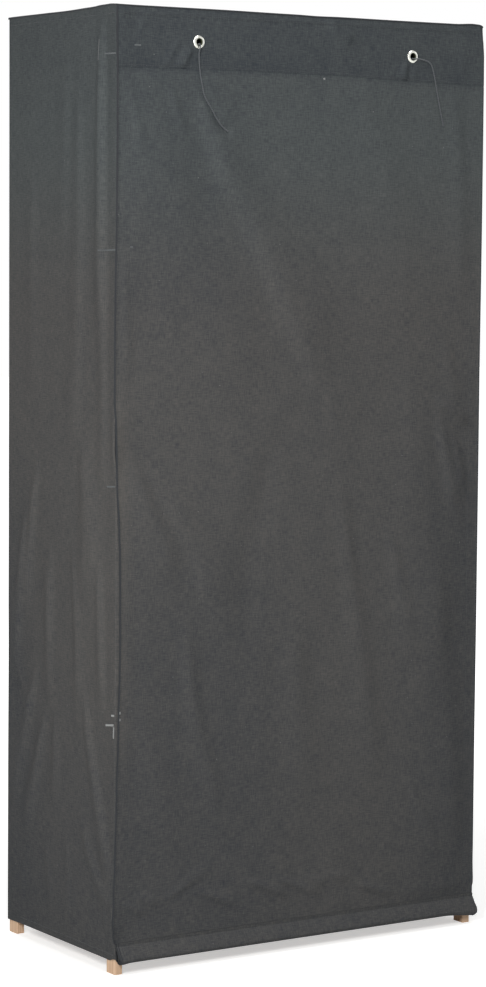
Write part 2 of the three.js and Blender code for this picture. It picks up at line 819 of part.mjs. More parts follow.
const wardrobe = groupOf(
  groupOf(posts(), sideRungs(), longRails(), railScrews(), hangingRail()),
  groupOf(shelf("bottom", bottomRungLevel), shelf("shelf", shelfRungLevel)),
  groupOf(topPanel(), backPanel(), sidePanels(), frontHeader(), facings()),
  groupOf(frontCover(), closingTapes(), hemSleeve(), hemRod()),
  groupOf(eyelets(), tieCords()),
);

// The hem reaches further out than the back, so the origin moves to the middle of the whole depth
wardrobe.position.y = -(hemFrontY + depth / 2) / 2;

export default wardrobe;
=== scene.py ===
import math

import bpy
import numpy as np
from mathutils import Matrix, Vector, noise


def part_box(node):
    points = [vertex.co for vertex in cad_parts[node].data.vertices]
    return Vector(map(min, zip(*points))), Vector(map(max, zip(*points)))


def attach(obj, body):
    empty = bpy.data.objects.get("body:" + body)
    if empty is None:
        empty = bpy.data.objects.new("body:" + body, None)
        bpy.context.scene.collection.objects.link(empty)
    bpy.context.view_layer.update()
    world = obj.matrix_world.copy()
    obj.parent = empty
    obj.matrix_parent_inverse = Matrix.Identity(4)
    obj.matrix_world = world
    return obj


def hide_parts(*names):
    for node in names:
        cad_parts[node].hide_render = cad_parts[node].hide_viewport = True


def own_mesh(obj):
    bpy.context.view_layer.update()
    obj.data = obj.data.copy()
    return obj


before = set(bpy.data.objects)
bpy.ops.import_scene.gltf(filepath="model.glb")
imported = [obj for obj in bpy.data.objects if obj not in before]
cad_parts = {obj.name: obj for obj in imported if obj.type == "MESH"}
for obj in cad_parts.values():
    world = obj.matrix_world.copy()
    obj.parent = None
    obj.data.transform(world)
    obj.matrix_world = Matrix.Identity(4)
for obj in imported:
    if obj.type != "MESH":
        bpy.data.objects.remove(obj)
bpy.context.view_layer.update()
mm = 0.001
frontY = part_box("front_header")[0].y  # outer face of the cloth at the front
print("frame loaded:", len(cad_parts), "nodes")

# Tables below are in millimetres: x from the middle, y from -200 at the front face to 200 at the back, and z
# from the floor


def place(points):
    # points of the tables in the frame's metres
    return (np.asarray(points, float) + (0, 200, 0)) * mm + (0, frontY, 0)


def addObject(name, data):
    piece = bpy.data.objects.new(name, data)
    bpy.context.scene.collection.objects.link(piece)
    return piece


# Camera, matched to the photograph

camera = {"x": -2962, "y": -4574, "z": 1295, "turn": 32.89, "tilt": -4.92, "roll": 0.38, "lens": 106.32}

cameraData = bpy.data.cameras.new("camera")
cameraData.lens = camera["lens"]
cameraData.sensor_width = 36
cameraData.clip_end = 60
cameraObject = addObject("camera", cameraData)
bpy.context.scene.camera = cameraObject
turn, tilt, roll = (math.radians(camera[key]) for key in ("turn", "tilt", "roll"))
ahead = Vector((math.sin(turn) * math.cos(tilt), math.cos(turn) * math.cos(tilt), math.sin(tilt)))
level = Vector((math.cos(turn), -math.sin(turn), 0))
upright = level.cross(ahead)
right = level * math.cos(roll) + upright * math.sin(roll)
above = upright * math.cos(roll) - level * math.sin(roll)
axes = Matrix((right, above, -ahead)).transposed()
where = Vector(place((camera["x"], camera["y"], camera["z"])))
cameraObject.matrix_world = Matrix.Translation(where) @ axes.to_4x4()
print("camera ready")


# Materials


def fromHex(code):
    parts = [int(code[i:i + 2], 16) / 255 for i in (1, 3, 5)]
    return (*(c / 12.92 if c <= 0.04045 else ((c + 0.055) / 1.055) ** 2.4 for c in parts), 1)


def darker(code, share):
    return (*(c * share for c in fromHex(code)[:3]), 1)


def addNode(tree, kind, inputs=None, out=0, **settings):
    # each input is a value or the output of another node, and the new node's own output comes back
    node = tree.nodes.new("ShaderNode" + kind)
    for key, value in settings.items():
        setattr(node, key, value)
    for key, value in (inputs or {}).items():
        if isinstance(value, bpy.types.NodeSocket):
            tree.links.new(value, node.inputs[key])
        else:
            node.inputs[key].default_value = value
    return node.outputs[out] if node.outputs else None


def newMaterial(name):
    material = bpy.data.materials.new(name)
    material.use_nodes = True
    material.node_tree.nodes.clear()
    return material, material.node_tree


def shaded(material, inputs):
    tree = material.node_tree
    addNode(tree, "OutputMaterial", {"Surface": addNode(tree, "BsdfPrincipled", inputs)})
    return material


def sheetSpace(tree):
    return addNode(tree, "UVMap", uv_map="flat")


def objectSpace(tree):
    return addNode(tree, "TexCoord", None, "Object")


def noiseAt(tree, vector, scale, detail, roughness=0.5, out="Fac", dimensions="3D"):
    inputs = {"Vector": vector, "Scale": scale, "Detail": detail, "Roughness": roughness}
    return addNode(tree, "TexNoise", inputs, out, noise_dimensions=dimensions)


def mapped(tree, vector, **inputs):
    return addNode(tree, "Mapping", {"Vector": vector, **inputs})


def ranged(tree, value, start, end, to=(0, 1), soft=True):
    # moves from the one end to the other while the value goes from start to end
    inputs = {"Value": value, "From Min": start, "From Max": end, "To Min": to[0], "To Max": to[1]}
    return addNode(tree, "MapRange", inputs, interpolation_type="SMOOTHSTEP" if soft else "LINEAR")


def between(tree, value, ends):
    return ranged(tree, value, 0, 1, ends, soft=False)


def mixColours(tree, amount, first, second):
    inputs = {0: amount}
    for key, colour in ((6, first), (7, second)):
        inputs[key] = fromHex(colour) if isinstance(colour, str) else colour
    return addNode(tree, "Mix", inputs, 2, data_type="RGBA")


def multiplyAdd(tree, value, times, plus):
    return addNode(tree, "Math", {0: value, 1: times, 2: plus}, operation="MULTIPLY_ADD")


def bumped(tree, height, strength, deep, **settings):
    return addNode(tree, "Bump", {"Height": height, "Strength": strength, "Distance": deep * mm}, **settings)


waveUnit = math.pi / 10  # a Wave Texture of scale 1 repeats after this length

cloth = {
    "deep": "#31353a",  # yarn that took the dye best
    "faded": "#605d59",  # thin yarn; the amount that brings it out also holds painted light and shade
    "cool": "#5b5f5d",  # the same towards the top, where the blue in the dye has kept
    "coolFrom": 1150,
    "coolTo": 1520,
    "speck": "#82827f",  # undyed fibre in a slub
    "thread": 1.4,  # mm between threads: the real 0.5 mm is too fine to show
    "slubWidth": 1.9,
    "slubLength": 15,
    "patch": 38,  # of uneven dye
    "lint": 6,
    # how much the mottle, the slubs and the weave bring out the faded dye, and how much is taken off in all
    "mottled": 0.2, "slubbed": 0.6, "woven": 0.3, "dyed": 0.85,
    "lintFrom": 0.83, "lintTo": 0.9, "lintMost": 0.6,
    "slubRelief": 0.6, "relief": 0.25,
}


def wovenCloth(name, look):
    # Plain-woven polyester and cotton: matt, with thick and thin yarns that read as faint streaks both ways
    material, tree = newMaterial(name)
    uv = sheetSpace(tree)
    threads = 1 / (look["thread"] * mm)
    wave = {"Scale": waveUnit * threads, "Vector": uv}
    warp, weft = (addNode(tree, "TexWave", wave, "Fac", bands_direction=way) for way in "XY")
    over = addNode(tree, "TexChecker", {"Scale": threads, "Vector": uv}, "Fac")
    weave = addNode(tree, "Mix", {0: over, 2: warp, 3: weft})
    wide, tall = 1 / (look["slubWidth"] * mm), 1 / (look["slubLength"] * mm)
    streaks = [noiseAt(tree, mapped(tree, uv, Scale=(*scales, 1)), 1, 2, 0.6, dimensions="2D")
               for scales in ((wide, tall), (tall, wide))]
    slubs = addNode(tree, "Math", dict(enumerate(streaks)), operation="ADD")
    mottle = noiseAt(tree, uv, 1 / (look["patch"] * mm), 3, 0.55, dimensions="2D")
    # from the deep dye to the faded one, by the texture and by an amount on each sheet that holds both real
    # fading and painted light and shade
    amount = addNode(tree, "Attribute", None, "Fac", attribute_name="fadeAndShade")
    for pattern, share in ((mottle, look["mottled"]), (slubs, look["slubbed"]), (weave, look["woven"])):
        amount = multiplyAdd(tree, pattern, share, amount)
    amount = addNode(tree, "Math", {0: amount, 1: -look["dyed"]}, operation="ADD", use_clamp=True)
    height = addNode(tree, "SeparateXYZ", {0: objectSpace(tree)}, "Z")
    kept = ranged(tree, height, look["coolFrom"] * mm, look["coolTo"] * mm)
    dyed = mixColours(tree, amount, look["deep"], mixColours(tree, kept, look["faded"], look["cool"]))
    lint = noiseAt(tree, uv, 1 / (look["lint"] * mm), 1, dimensions="2D")
    lint = ranged(tree, lint, look["lintFrom"], look["lintTo"], (0, look["lintMost"]), soft=False)
    relief = multiplyAdd(tree, slubs, look["slubRelief"], weave)
    return shaded(material, {
        "Base Color": mixColours(tree, lint, dyed, look["speck"]), "Roughness": 0.9, "Specular IOR Level": 0.06,
        "Normal": bumped(tree, relief, 0.5, look["relief"])})


clothMaterial = wovenCloth("woven_polyester_cotton", cloth)


pine = {
    "early": "#d4b598", "late": "#b08d71", "ring": 3.2, "fibre": 0.7, "fibreLength": 45, "relief": 0.15,
    "heart": (0.013, 0.041, 0),  # where the rings' middle lies beside the lath, in metres
    "drawn": 0.05,  # how short the rings' waver is along the lath
    "sway": 22, "swayed": 0.012,
    "lateFrom": 0.45, "lateMost": 0.5, "fibreShade": 0.3, "rough": (0.55, 0.72),
}


def planedPine(name, turn):
    # Planed pine, unfinished: pale early wood and darker late wood in rings, drawn along the lath
    material, tree = newMaterial(name)
    along = mapped(tree, objectSpace(tree), Rotation=turn, Location=pine["heart"])
    squeezed = mapped(tree, along, Scale=(1, 1, pine["drawn"]))
    sway = noiseAt(tree, squeezed, pine["sway"], 2, out="Color")
    bent = addNode(tree, "Mix", {0: pine["swayed"], 4: squeezed, 5: sway}, 1, data_type="VECTOR")
    rings = addNode(tree, "TexWave", {
        "Scale": waveUnit / (pine["ring"] * mm), "Distortion": 1.6, "Detail": 2, "Detail Scale": 0.6,
        "Vector": bent}, "Fac", wave_type="RINGS", rings_direction="Z")
    scales = [1 / (pine[key] * mm) for key in ("fibre", "fibre", "fibreLength")]
    fibre = noiseAt(tree, mapped(tree, along, Scale=scales), 1, 3)
    late = ranged(tree, rings, pine["lateFrom"], 1, (0, pine["lateMost"]))
    mixed = multiplyAdd(tree, fibre, pine["fibreShade"], late)
    return shaded(material, {
        "Base Color": mixColours(tree, mixed, pine["early"], pine["late"]), "Specular IOR Level": 0.4,
        "Roughness": between(tree, fibre, pine["rough"]), "Normal": bumped(tree, fibre, 0.35, pine["relief"])})


quarter = math.pi / 2
pineUp = planedPine("planed_pine_upright", (0, 0, 0))
pineAcross = planedPine("planed_pine_lengthways", (0, quarter, 0))
pineDeep = planedPine("planed_pine_sideways", (quarter, 0, 0))


metals = {
    "nickelled_brass": {"colour": "#eaebe6", "dull": "#b4b4a8", "smooth": 0.16, "rough": 0.34, "grain": 3},
    "zinc_plated_steel": {"colour": "#b9bdc2", "dull": "#8d9196", "smooth": 0.28, "rough": 0.5, "grain": 2},
}
wear = {"colour": "#34362a", "from": 6.2, "to": 7.8, "rough": 0.6}


def platedMetal(name, look, wornRound=None):
    # Thin bright plating on a pressed or headed blank, duller in patches where it was handled
    material, tree = newMaterial(name)
    inObject = objectSpace(tree)
    patches = noiseAt(tree, inObject, 1 / (look["grain"] * mm), 4)
    colour = mixColours(tree, patches, look["colour"], look["dull"])
    roughness = between(tree, patches, (look["smooth"], look["rough"]))
    if wornRound:
        # the cord has worn the plating off the throat, down to dark tarnished brass
        x, z = wornRound
        offset = mapped(tree, inObject, Location=(-x * mm, 0, -z * mm), Scale=(1, 0, 1))
        radius = addNode(tree, "VectorMath", {0: offset}, "Value", operation="LENGTH")
        plated = ranged(tree, radius, wear["from"] * mm, wear["to"] * mm)
        colour = mixColours(tree, plated, wear["colour"], colour)
        roughness = between(tree, plated, (wear["rough"], look["smooth"]))
    return shaded(material, {"Metallic": 1, "Base Color": colour, "Roughness": roughness})


zinc = platedMetal("zinc_plated_steel", metals["zinc_plated_steel"])

# the binding's dark colour is partly painted shade, for the dark lines along the corner seams and edges
tape = {"hook": "#232527", "loop": "#2b2d2f", "pile": 0.9, "binding": "#282a2d", "rib": 1.1}


def nylonTape(name, colour, relief):
    # Woven nylon tape with a pile of hooks or brushed loops, which scatters light and looks rough
    material, tree = newMaterial(name)
    pile = addNode(tree, "TexVoronoi", {"Scale": 1 / (tape["pile"] * mm), "Vector": sheetSpace(tree)},
                   voronoi_dimensions="2D")
    return shaded(material, {
        "Base Color": mixColours(tree, pile, colour, darker(colour, 0.5)), "Roughness": 0.8,
        "Sheen Weight": 0.3, "Sheen Roughness": 0.4, "Normal": bumped(tree, pile, 0.8, relief, invert=True)})


def bindingTapeAndSeamShade(name):
    # Ribbed polyester tape folded over the cloth's raw edges: darker than the cloth and a little smoother, and
    # its darkness is partly painted shade for the dark lines along the corner seams and edges
    material, tree = newMaterial(name)
    ribs = addNode(tree, "TexWave", {"Scale": waveUnit / (tape["rib"] * mm), "Vector": sheetSpace(tree)}, "Fac",
                   bands_direction="Y")
    return shaded(material, {
        "Base Color": fromHex(tape["binding"]), "Roughness": 0.75, "Specular IOR Level": 0.25,
        "Normal": bumped(tree, ribs, 0.5, 0.12)})


bindingAndSeamShade = bindingTapeAndSeamShade("polyester_edge_binding_and_seam_shade")
hookMaterial = nylonTape("nylon_hook_tape", tape["hook"], 0.5)
loopMaterial = nylonTape("nylon_loop_tape", tape["loop"], 0.3)

yarns = {"cord": "#464a4e", "stitch": "#2f3235", "tack": "#8e908f", "faint": "#54585a"}


def spunYarn(name, colour, lay):
    # Spun polyester yarn: fine fibres that run along the yarn, matt with a soft halo
    material, tree = newMaterial(name)
    fibres = noiseAt(tree, objectSpace(tree), 1 / (lay * mm), 2)
    return shaded(material, {
        "Base Color": mixColours(tree, fibres, darker(colour, 0.7), colour), "Roughness": 0.85,
        "Sheen Weight": 0.25, "Sheen Roughness": 0.5})


cordMaterial = spunYarn("twisted_polyester_cord", yarns["cord"], 0.4)
stitchMaterial = spunYarn("polyester_sewing_thread", yarns["stitch"], 0.3)
tackMaterial = spunYarn("pale_bar_tack_thread", yarns["tack"], 0.3)
faintMaterial = spunYarn("worn_bar_tack_thread", yarns["faint"], 0.3)
print("materials ready")


# Tie cords: two twisted cords, each hanging from its eyelet in front and inside

cords = {
    "diameter": 2.5,
    "sides": 15,
    "steps": 170,
    "strands": 3,
    "lobe": 0.16,  # depth of the groove between strands, as a share of the radius
    "layLength": 11,  # one full turn of the strands
    "startCap": 0.3, "endCap": 0.5,  # how far the two ends stand out
    "routes": {
        "left_tie_cord": [
            (-231.5, -199.7, 1640.8), (-231.6, -202.6, 1640.9), (-232, -205, 1638.3),
            (-232.4, -204.7, 1632), (-232.6, -202.4, 1623), (-231.6, -201.7, 1608),
            (-229.4, -201.7, 1589), (-225.2, -202.1, 1568), (-221.6, -202.5, 1553),
            (-214.2, -202.7, 1540.5), (-205.2, -202.9, 1527.5), (-196.4, -202.9, 1513.5),
            (-187.4, -202.6, 1502.5), (-178.8, -202.4, 1495), (-171, -202.3, 1490.5)],
        "right_tie_cord": [
            (231.5, -199.7, 1633.8), (232.4, -202.4, 1633.7), (236, -204.4, 1633.6),
            (242, -204.4, 1633.5), (248.6, -203, 1633.2), (257, -202.1, 1631.8), (265.6, -201.7, 1629.6),
            (272.4, -201.6, 1625.4), (277, -201.6, 1616), (280.8, -201.6, 1602), (284.6, -201.6, 1586),
            (288.8, -201.6, 1568), (293.2, -201.6, 1549), (298, -201.6, 1530), (302.4, -201.6, 1512.5)],
        "left_tie_cord_inner": [
            (-231.5, -199.3, 1640.8), (-231.5, -196.4, 1640.9), (-231.4, -193.6, 1638.9),
            (-231, -193.4, 1632.5), (-230.6, -194.9, 1623), (-231.4, -196.7, 1608),
            (-234.2, -196.9, 1589), (-237, -196.8, 1566), (-238, -196.6, 1544), (-236, -196.4, 1522),
            (-233.4, -196.4, 1502), (-232.4, -196.4, 1486)],
        "right_tie_cord_inner": [
            (231.5, -199.3, 1633.8), (231.5, -196.4, 1633.9), (231.8, -193.6, 1631.9),
            (232, -193.4, 1625.5), (232.6, -194.9, 1617), (233.6, -196.7, 1604), (236.4, -196.9, 1587),
            (237.4, -196.8, 1566), (235.2, -196.6, 1544), (232.2, -196.4, 1522), (231.4, -196.4, 1502),
            (233.2, -196.4, 1479)],
    },
}


def smoothLine(points, steps):
    # Catmull-Rom curve through the points, then spaced evenly
    p = np.array(points, float)
    p = np.vstack([2 * p[0] - p[1], p, 2 * p[-1] - p[-2]])
    t = np.linspace(0, 1, 24, endpoint=False)[:, None]
    line = [0.5 * (2 * b + (c - a) * t + (2 * a - 5 * b + 4 * c - d) * t ** 2
                   + (3 * b - a - 3 * c + d) * t ** 3) for a, b, c, d in zip(p, p[1:], p[2:], p[3:])]
    line = np.vstack([*line, p[-2][None]])
    run = np.concatenate([[0], np.cumsum(np.linalg.norm(np.diff(line, axis=0), axis=1))])
    even = np.linspace(0, run[-1], steps)
    return np.stack([np.interp(even, run, line[:, k]) for k in range(3)], axis=1), run[-1]


def alone(piece):
    bpy.ops.object.select_all(action="DESELECT")
    piece.select_set(True)
    bpy.context.view_layer.objects.active = piece


def twistedCord(name, route):
    line, length = smoothLine(route, cords["steps"])
    ahead = np.gradient(line, axis=0)
    ahead /= np.linalg.norm(ahead, axis=1)[:, None]
    side = np.cross(ahead[0], (0, 0, 1.0))
    sides, steps = cords["sides"], len(line)
    angles = np.linspace(0, 2 * math.pi, sides, endpoint=False)
    vertices = []
    for i, centre in enumerate(line):
        side = side - ahead[i] * (side @ ahead[i])
        side /= np.linalg.norm(side)
        circle = np.outer(np.cos(angles), side) + np.outer(np.sin(angles), np.cross(ahead[i], side))
        turned = 2 * math.pi * (i / (steps - 1)) * length / cords["layLength"]
        lobes = 1 - cords["lobe"] * (0.5 - 0.5 * np.cos(cords["strands"] * (angles - turned)))
        vertices.extend(centre + cords["diameter"] / 2 * lobes[:, None] * circle)
    vertices += [line[0] - ahead[0] * cords["startCap"], line[-1] + ahead[-1] * cords["endCap"]]
    index = np.arange(steps * sides).reshape(steps, sides)
    beside = np.roll(index, -1, axis=1)
    faces = np.stack([index[:-1], beside[:-1], beside[1:], index[1:]], axis=-1).reshape(-1, 4).tolist()
    first, last = steps * sides, steps * sides + 1
    faces += [(first, b, a) for a, b in zip(index[0].tolist(), beside[0].tolist())]
    faces += [(last, a, b) for a, b in zip(index[-1].tolist(), beside[-1].tolist())]
    mesh = bpy.data.meshes.new(name)
    mesh.from_pydata(place(vertices).tolist(), [], faces)
    mesh.materials.append(cordMaterial)
    mesh.shade_smooth()
    piece = addObject(name + "_twisted", mesh)
    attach(piece, "wardrobe")
    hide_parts(name)
    print(name, "is", length.round(1), "mm long")
    return line


cordLines = {name: twistedCord(name, route) for name, route in cords["routes"].items()}
print("cords ready")


# Cloth


def smooth(value, span):
    t = np.clip(value / span, 0, 1)
    return t * t * (3 - 2 * t)


def ramp(value, start, end):
    # rises smoothly from 0 at start to 1 at end, which may be the lower of the two
    return smooth(value - start, end - start)


def tableAt(table, where):
    # values of a table of (place, value) rows, joined smoothly
    places, values = (np.array(column, float) for column in zip(*sorted(table)))
    i = np.clip(np.searchsorted(places, where) - 1, 0, len(places) - 2)
    return values[i] + (values[i + 1] - values[i]) * ramp(where, places[i], places[i + 1])


def ripple(a, b, wide, tall, seed):
    # soft noise between -1 and 1, stretched to wide by tall millimetres
    flat = [noise.noise(Vector((x / wide + seed * 7.3, z / tall - seed * 3.1, seed * 1.7)))
            for x, z in zip(a.ravel(), b.ravel())]
    return np.array(flat).reshape(a.shape)


def ripples(rows, a, b, seed=0):
    # each row is an amount, a width, a height, a seed and, for a pucker, where it starts and is full
    return sum(amount * ripple(a, b, wide, tall, seed + step) * math.prod(ramp(b, *ends) for ends in puckers)
               for amount, wide, tall, step, *puckers in rows)


def fadeAndShadeAt(rows, **at):
    # each row is an amount and the ramps that it grows by, as (axis, start, end): real fading and painted light
    # and shade together
    return sum(amount * math.prod(ramp(at[axis], start, end) for axis, start, end in ramps)
               for amount, *ramps in rows)


# a fold's width at its start, how far past its line it goes and over how much of its run it rises and sinks
foldShape = {"start": 0.55, "past": 0.15, "reach": 0.4}


def foldsAt(folds, a, b):
    # how far the cloth stands out: each fold is a line of points, its left and right widths, and its lift
    total = np.zeros(a.shape)
    for points, leftWidth, rightWidth, lift in folds:
        nearest = np.full(a.shape, 1e9)
        along = np.zeros(a.shape)
        aside = np.zeros(a.shape)
        run = 0.0
        for (x0, z0), (x1, z1) in zip(points, points[1:]):
            dx, dz = x1 - x0, z1 - z0
            length = math.hypot(dx, dz)
            t = np.clip(((a - x0) * dx + (b - z0) * dz) / length ** 2, 0, 1)
            far = np.hypot(a - x0 - t * dx, b - z0 - t * dz)
            side = np.sign((a - x0) * dz - (b - z0) * dx)
            closer = far < nearest
            nearest = np.where(closer, far, nearest)
            along = np.where(closer, run + t * length, along)
            aside = np.where(closer, side, aside)
            run += length
        share = along / run
        grow = foldShape["start"] + (1 - foldShape["start"]) * smooth(share, 1.0)
        widths = np.where(aside < 0, leftWidth, rightWidth) * grow
        past, reach = foldShape["past"] * run, foldShape["reach"] * run
        ends = smooth(along + past, reach) * smooth(run + past - along, reach)
        total += lift * np.exp(-(nearest / widths) ** 2) * ends
    return total


def sheetObject(name, points, flat, thickness, fadeAndShade, material=clothMaterial, flip=False, bound=None):
    # a grid of points on the cloth's outer face, its flat pattern and its amount of fading and painted light
    # and shade, given a wall inwards
    rows, columns = points.shape[:2]
    index = np.arange(rows * columns).reshape(rows, columns)
    quads = np.stack([index[:-1, :-1], index[:-1, 1:], index[1:, 1:], index[1:, :-1]], axis=-1).reshape(-1, 4)
    if flip:
        quads = quads[:, ::-1]
    mesh = bpy.data.meshes.new(name)
    mesh.from_pydata(place(points).reshape(-1, 3).tolist(), [], quads.tolist())
    layer = mesh.uv_layers.new(name="flat")
    corners = np.zeros(len(mesh.loops), np.int32)
    mesh.loops.foreach_get("vertex_index", corners)
    layer.data.foreach_set("uv", (flat.reshape(-1, 2)[corners] * mm).astype(np.float32).ravel())
    # the amount of fading and of painted light and shade, for the cloth's colour
    attribute = mesh.attributes.new("fadeAndShade", "FLOAT", "POINT")
    attribute.data.foreach_set("value", np.broadcast_to(fadeAndShade, (rows, columns)).astype(np.float32).ravel())
    mesh.materials.append(material)
    if bound is not None:
        # these faces get the dark binding tape, which is partly painted shade along the edges
        mesh.materials.append(bindingAndSeamShade)
        taped = np.broadcast_to(bound, (rows - 1, columns - 1))
        mesh.polygons.foreach_set("material_index", taped.astype(np.int32).ravel())
    piece = addObject(name, mesh)
    alone(piece)
    bpy.ops.object.modifier_add(type="SOLIDIFY")
    wall = piece.modifiers[-1]
    wall.thickness = thickness * mm
    wall.offset = -1
    bpy.ops.object.modifier_apply(modifier=wall.name)
    bpy.ops.object.shade_smooth_by_angle(angle=math.radians(50))
    return piece


def sewn(piece, name, flat, held, restsOn, slot="cover_cloth", body="wardrobe", rolls=False, **others):
    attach(piece, body)
    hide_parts(name)
    if rolls:
        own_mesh(piece)


def finerStart(start, middle, end, fine, count):
    # count steps from start to end, of which the fine ones lie closer together before the middle
    return np.concatenate([np.linspace(start, middle, fine)[:-1], np.linspace(middle, end, count - fine + 1)])


def turnedEdge(radius, allowance, binding):
    # offsets from an edge and depths behind the face, from the end of the turned-in allowance to the face
    angles = np.radians((135, 90, 45))
    raised = -0.25  # the binding lies on the cloth
    offsets = [allowance, allowance * 0.5, radius * 1.6, *(radius - radius * np.sin(angles)), radius,
               binding, binding + 0.4]
    depths = [2 * radius, 2 * radius, 2 * radius, *(radius - radius * np.cos(angles)), raised, raised, 0.0]
    return np.array(offsets), np.array(depths)


boundColumns = range(2, 8)  # the faces of a turned edge that the binding covers

# first point and step along a cord, then how wide the hollow behind it is and the gap between the two
hollow = {"from": 20, "step": 3, "near": 3, "reach": 9, "gap": 0.15}


def cordHollow(a, b, lift):
    # keeps the cloth behind the cords that hang over it
    for name in ("left_tie_cord", "right_tie_cord"):
        gap = np.full(a.shape, 1e9)
        room = np.zeros(a.shape)
        for x, y, z in cordLines[name][hollow["from"]::hollow["step"]]:
            d = np.hypot(a - x, b - z)
            room = np.where(d < gap, panels["front"] - y - cords["diameter"] / 2 - hollow["gap"], room)
            gap = np.minimum(d, gap)
        lift = lift - np.maximum(lift - room, 0) * (1 - smooth(gap - hollow["near"], hollow["reach"]))
    return lift


panels = {
    "wall": 0.6,
    "halfWidth": 395, "front": -200, "back": 200, "top": 1700,
    "hem": 24,
    "seam": [(-395, 1596), (-150, 1597.5), (60, 1597), (240, 1592), (395, 1589)],
    "sagStart": -178, "sagEnd": 182.5, "edgeSag": 0.6, "middleSag": 7,
    # how far the slack cloth stands off the front posts, by height, and how far in that reaches
    "leftSlack": [(24, 0.6), (60, 2), (102, 2.8), (200, 2.2), (430, 2.6), (690, 1.6), (860, 2.4), (1000, 3.4),
                  (1180, 3.2), (1450, 2.4), (1560, 2.8), (1640, 3.4), (1700, 5)],
    "rightSlack": [(24, 0.6), (80, 1.2), (700, 0.9), (1500, 1.2), (1650, 1.5), (1700, -0.4)],
    "slackReach": 42,
    # how high the seam round the top puckers, along each edge
    "frontPucker": [(-395, 2.5), (-340, 2.7), (-200, 2.8), (-30, 2), (20, 1.2), (70, 1.8), (200, 1.5),
                    (330, 1.6), (370, 3.6), (386, 2.8), (395, 0)],
    "backPucker": [(-395, 2.4), (-200, 1), (200, 1), (395, 2.4)],
    "leftPucker": [(-200, 3), (-172, 4.9), (-143, 4.8), (-112, 3.4), (-20, 2.6), (60, 3), (200, 3.2)],
    "rightPucker": [(-200, 0.6), (-150, 2), (0, 1.4), (150, 1.8), (200, 2.4)],
    # heights where the folds of the sides and the back start and are full
    "hemHold": (20, 42), "topHold": (1699, 1669),
}


def topSag(x, y):
    along = np.clip((y - panels["sagStart"]) / (panels["sagEnd"] - panels["sagStart"]), 0, 1)
    middle = np.cos(x / (2 * panels["halfWidth"]) * math.pi)
    deepest = panels["edgeSag"] + (panels["middleSag"] - panels["edgeSag"]) * middle
    return np.sin(along * math.pi) ** 2 * deepest


def seamTop(x, y):
    # height of the seam round the top: at an edge it follows that edge's pucker
    x, y = np.broadcast_arrays(np.asarray(x, float), np.asarray(y, float))
    half = panels["halfWidth"]
    total = lift = 0
    for far, key, at in ((y - panels["front"], "frontPucker", x), (panels["back"] - y, "backPucker", x),
                         (half + x, "leftPucker", y), (half - x, "rightPucker", y)):
        weight = 1 / (np.maximum(far, 0) + 2) ** 2
        total = total + weight
        lift = lift + weight * tableAt(panels[key], at)
    return panels["top"] + lift / total


def slackAt(side, z):
    return tableAt(panels["leftSlack"] if side < 0 else panels["rightSlack"], z)


def frontSlack(x, z):
    half, reach = panels["halfWidth"], panels["slackReach"]
    return slackAt(-1, z) * ramp(half + x, reach, 0) + slackAt(1, z) * ramp(half - x, reach, 0)


def sideSlack(side, y, z):
    return slackAt(side, z) * ramp(y - panels["front"], panels["slackReach"], 0)


# Front cover: the panel that rolls up, its side edges bound with tape

